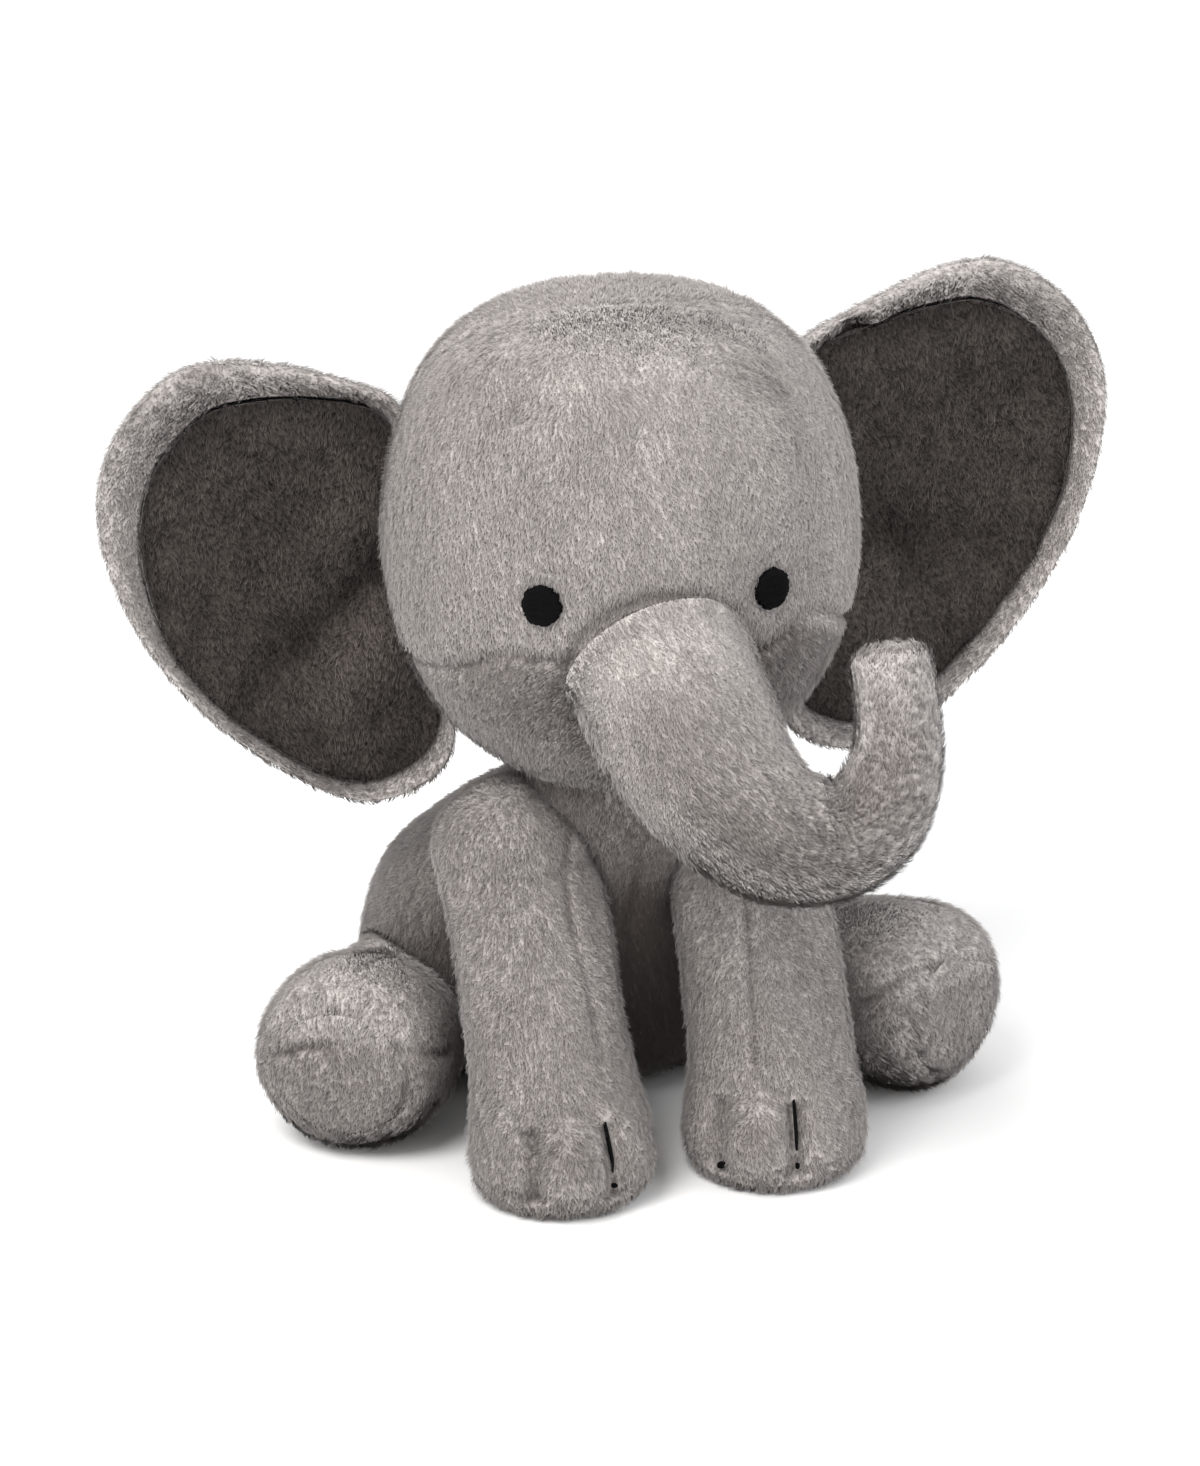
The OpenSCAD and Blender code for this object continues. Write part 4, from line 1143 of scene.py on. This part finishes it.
def make_hind_leg(side):
    along, length = hind_along(side), HIND_LENGTH[side]
    rows = []
    for k, (d, height, half_h, half_w) in enumerate(HIND_SECTIONS):
        c = HIP + (d + (0 if k < 2 else length)) * along
        rows.append([c[0], c[1], height, half_h, half_w])
    rows = catmull(rows, 130)
    start = round_end(rows[0], -along, HIP_R, (86, 8), 26)
    end = round_end(rows[-1], along, 3.5, (10, 86), 22, 0.8)
    g = Grid(rings(np.concatenate([start, rows, end]), along, [0, 0, 1], 180))
    g.face(80, [0, 0, 1])
    g.push(-PILE_ROOM)
    g.push(0.7 * soft_noise(g.p, 20, 101 if side == "left" else 105))
    g.tone = (0.2 if side == "right" else 0.08) + 0.07 * soft_noise(g.p, 16, 103)
    z = g.p[..., 2]
    g.groove(SOLE_SEAM[side], 1.2, 1.6, 0.26, 0.12)
    g.groove(UPPER_SEAM[side], 1.0, 1.5, 0.22, 0.12)
    # Painted shade: the sole, about below its seam, is darker as it faces down and forward
    g.tone += (0.28 if side == "right" else 0.3) * ramp(37, 31, z)
    g.rest()
    radial = g.p - (HIP + [0, 0, 4])
    g.comb(unit(radial * [1, 1, 0]) + [0, 0, -0.7], 28, 14, 107)
    g.grain = g.p * [0.8, 0.8, 0.45]
    g.cover = np.where(z < BARE_UNDER, 0.0, 1.0)
    return grid_object(f"hind_leg_{side}_skin", g, place_body, grey_cloth, side == "right")


hind_legs = {}
for side in SIGN:
    hind_legs[side] = make_hind_leg(side)
    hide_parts(*cad_legs("hind", side))

# ---- tail, neck and pouch
TAIL_PATH = [(84, 47, 4.6), (88, 43, 4.6), (92, 37, 4.5), (95.5, 29, 4.3), (97, 19, 4.4)]  # y, z and radius


def make_tail():
    rows, step = closed_tube(catmull([[0, y, z, r, r] for y, z, r in TAIL_PATH], 70), 4.3, 16)
    g = Grid(rings(rows, step, [1, 0, 0], 56))
    g.face(30, [1, 0, 0])
    g.push(-0.5)
    g.push(0.3 * soft_noise(g.p, 9, 111))
    g.groove(rows[4:-6, :3] + [0, 4.2, 0], 0.5, 1.2, 0.2, 0.1)
    g.tone += 0.3 + 0.1 * soft_noise(g.p, 9, 113)
    g.comb([0, 0.2, -1.0], 15, 10, 115)
    return grid_object("tail_skin", g, place_body, grey_cloth)


tail = make_tail()
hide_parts("tail_tube", "tail_stuffing")


def make_ball(name, middle, radius, height):
    """Small filled bag: a crowned round form with a seam round its waist."""
    middle = np.array(middle, float)
    a = np.radians(np.linspace(-87, 87, 50))
    wide = radius * np.cos(a) ** 0.6
    x, y, z = middle
    rows = np.stack([x + 0 * a, y + 0 * a, z + height / 2 * np.sin(a), wide, wide], -1)
    g = Grid(rings(rows, [0, 0, 1], [1, 0, 0], 72))
    g.push(0.4 * soft_noise(g.p, 8, 121))
    turn = np.linspace(0, 2 * np.pi, 25)
    waist = middle + radius * np.stack([np.cos(turn), np.sin(turn), 0 * turn], -1)
    g.groove(waist, 0.5, 0.8, 0.2, 0)
    g.tone += 0.3
    return grid_object(name, g, place_body, pouch_cloth)


neck = make_ball("neck_fill", NECK + [0, 0, 12], 21.0, 26.0)
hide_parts("neck_stuffing")
pouch = make_ball("pellet_bag", [0, 50, 15], 19.0, 12.5)
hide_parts("pellet_pouch")
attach(neck, "neck")
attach(pouch, "torso")


# ---- head and torso ride on their bodies; the other skins have their placing baked in
def blend(piece, start, end, place=place_body):
    """Carries two points into the model's frame and bakes the piece's placing into its mesh."""
    start, end = (tuple(float(c) for c in place(point)) for point in (start, end))
    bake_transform(piece)


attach(head, "head")
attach(torso, "torso")
blend(trunk, [-1, -50, 139], [3, -72, 126], place_head)
for side, sign in SIGN.items():
    flip = [sign, 1, 1]
    for piece in ear_pieces[side]:
        near, far = [sign * 54, EAR_Y, 150], [sign * 76, EAR_Y, 150]
        blend(piece, near, far, place_head)
    blend(front_legs[side], [sign * 29, -6, 86], [sign * 29, -20, 62])
    near, far = ((HIP + reach * hind_along(side)) * flip for reach in (-6, 16))
    blend(hind_legs[side], near, far)
blend(tail, [0, 85, 46], [0, 92, 38])

grey_pieces = [head, trunk, torso, tail, *front_legs.values(), *hind_legs.values()]
for side in SIGN:
    shell, lining = ear_pieces[side]
    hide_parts(f"ear_shell_{side}", f"ear_padding_{side}")
    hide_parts(f"ear_lining_{side}")
    grow_pile(lining, dark_pile)
    grey_pieces.append(shell)
for piece in grey_pieces:
    grow_pile(piece, grey_pile)


# ---- floor, light and camera
def make_floor():
    mesh = bpy.data.meshes.new("floor")
    half, back = 4.0, 6.0  # metres
    corners = [(-half, -half, 0), (half, -half, 0), (half, back, 0), (-half, back, 0)]
    mesh.from_pydata(corners, [], [(0, 1, 2, 3)])
    material, n = new_material("floor_paper")
    place = n.add("ShaderNodeTexCoord").outputs["Object"]
    cloud = n.get("ShaderNodeTexNoise", {"Vector": place, "Scale": 3.0, "Detail": 2.0})
    colour = n.mix(cloud, (0.93, 0.93, 0.93), (0.95, 0.95, 0.95))
    n.surface(n.get("ShaderNodeBsdfDiffuse", {"Color": colour}))
    mesh.materials.append(material)
    obj = bpy.data.objects.new("floor", mesh)
    bpy.context.scene.collection.objects.link(obj)
    return obj


make_floor()

world = bpy.data.worlds.new("studio")
bpy.context.scene.world = world
world.use_nodes = True
world.node_tree.nodes["Background"].inputs["Color"].default_value = (1.0, 1.0, 1.0, 1.0)
world.node_tree.nodes["Background"].inputs["Strength"].default_value = 1.0


def area_light(name, place, aim, size, watts, colour=(1, 1, 1)):
    light = bpy.data.lights.new(name, "AREA")
    light.shape, light.size, light.energy, light.color = "DISK", size, watts, colour
    obj = bpy.data.objects.new(name, light)
    obj.location = place
    obj.rotation_euler = (Vector(aim) - Vector(place)).to_track_quat("-Z", "Y").to_euler()
    bpy.context.scene.collection.objects.link(obj)


area_light("key", (-0.75, -0.65, 1.35), (0, 0, 0.1), 0.9, 21.0, (1.0, 0.99, 0.975))
area_light("fill", (1.2, -0.9, 0.9), (0, 0, 0.1), 1.2, 7.0, (0.95, 0.975, 1.0))

CAMERA_YAW, CAMERA_TILT, CAMERA_DISTANCE = math.radians(16), math.radians(22), 1.7
CAMERA_TARGET = np.array([-0.0045, 0.0012, 0.100])
level = math.cos(CAMERA_TILT)
backward = np.array([-math.sin(CAMERA_YAW) * level, -math.cos(CAMERA_YAW) * level, math.sin(CAMERA_TILT)])
camera_data = bpy.data.cameras.new("camera")
camera_data.sensor_width = 36.0
camera_data.lens = 168.2
camera_data.clip_end = 50.0
camera = bpy.data.objects.new("camera", camera_data)
camera.location = CAMERA_TARGET + CAMERA_DISTANCE * backward
camera.rotation_euler = Vector(-backward).to_track_quat("-Z", "Y").to_euler()
bpy.context.scene.collection.objects.link(camera)
bpy.context.scene.camera = camera
bpy.context.scene.view_settings.view_transform = "Standard"
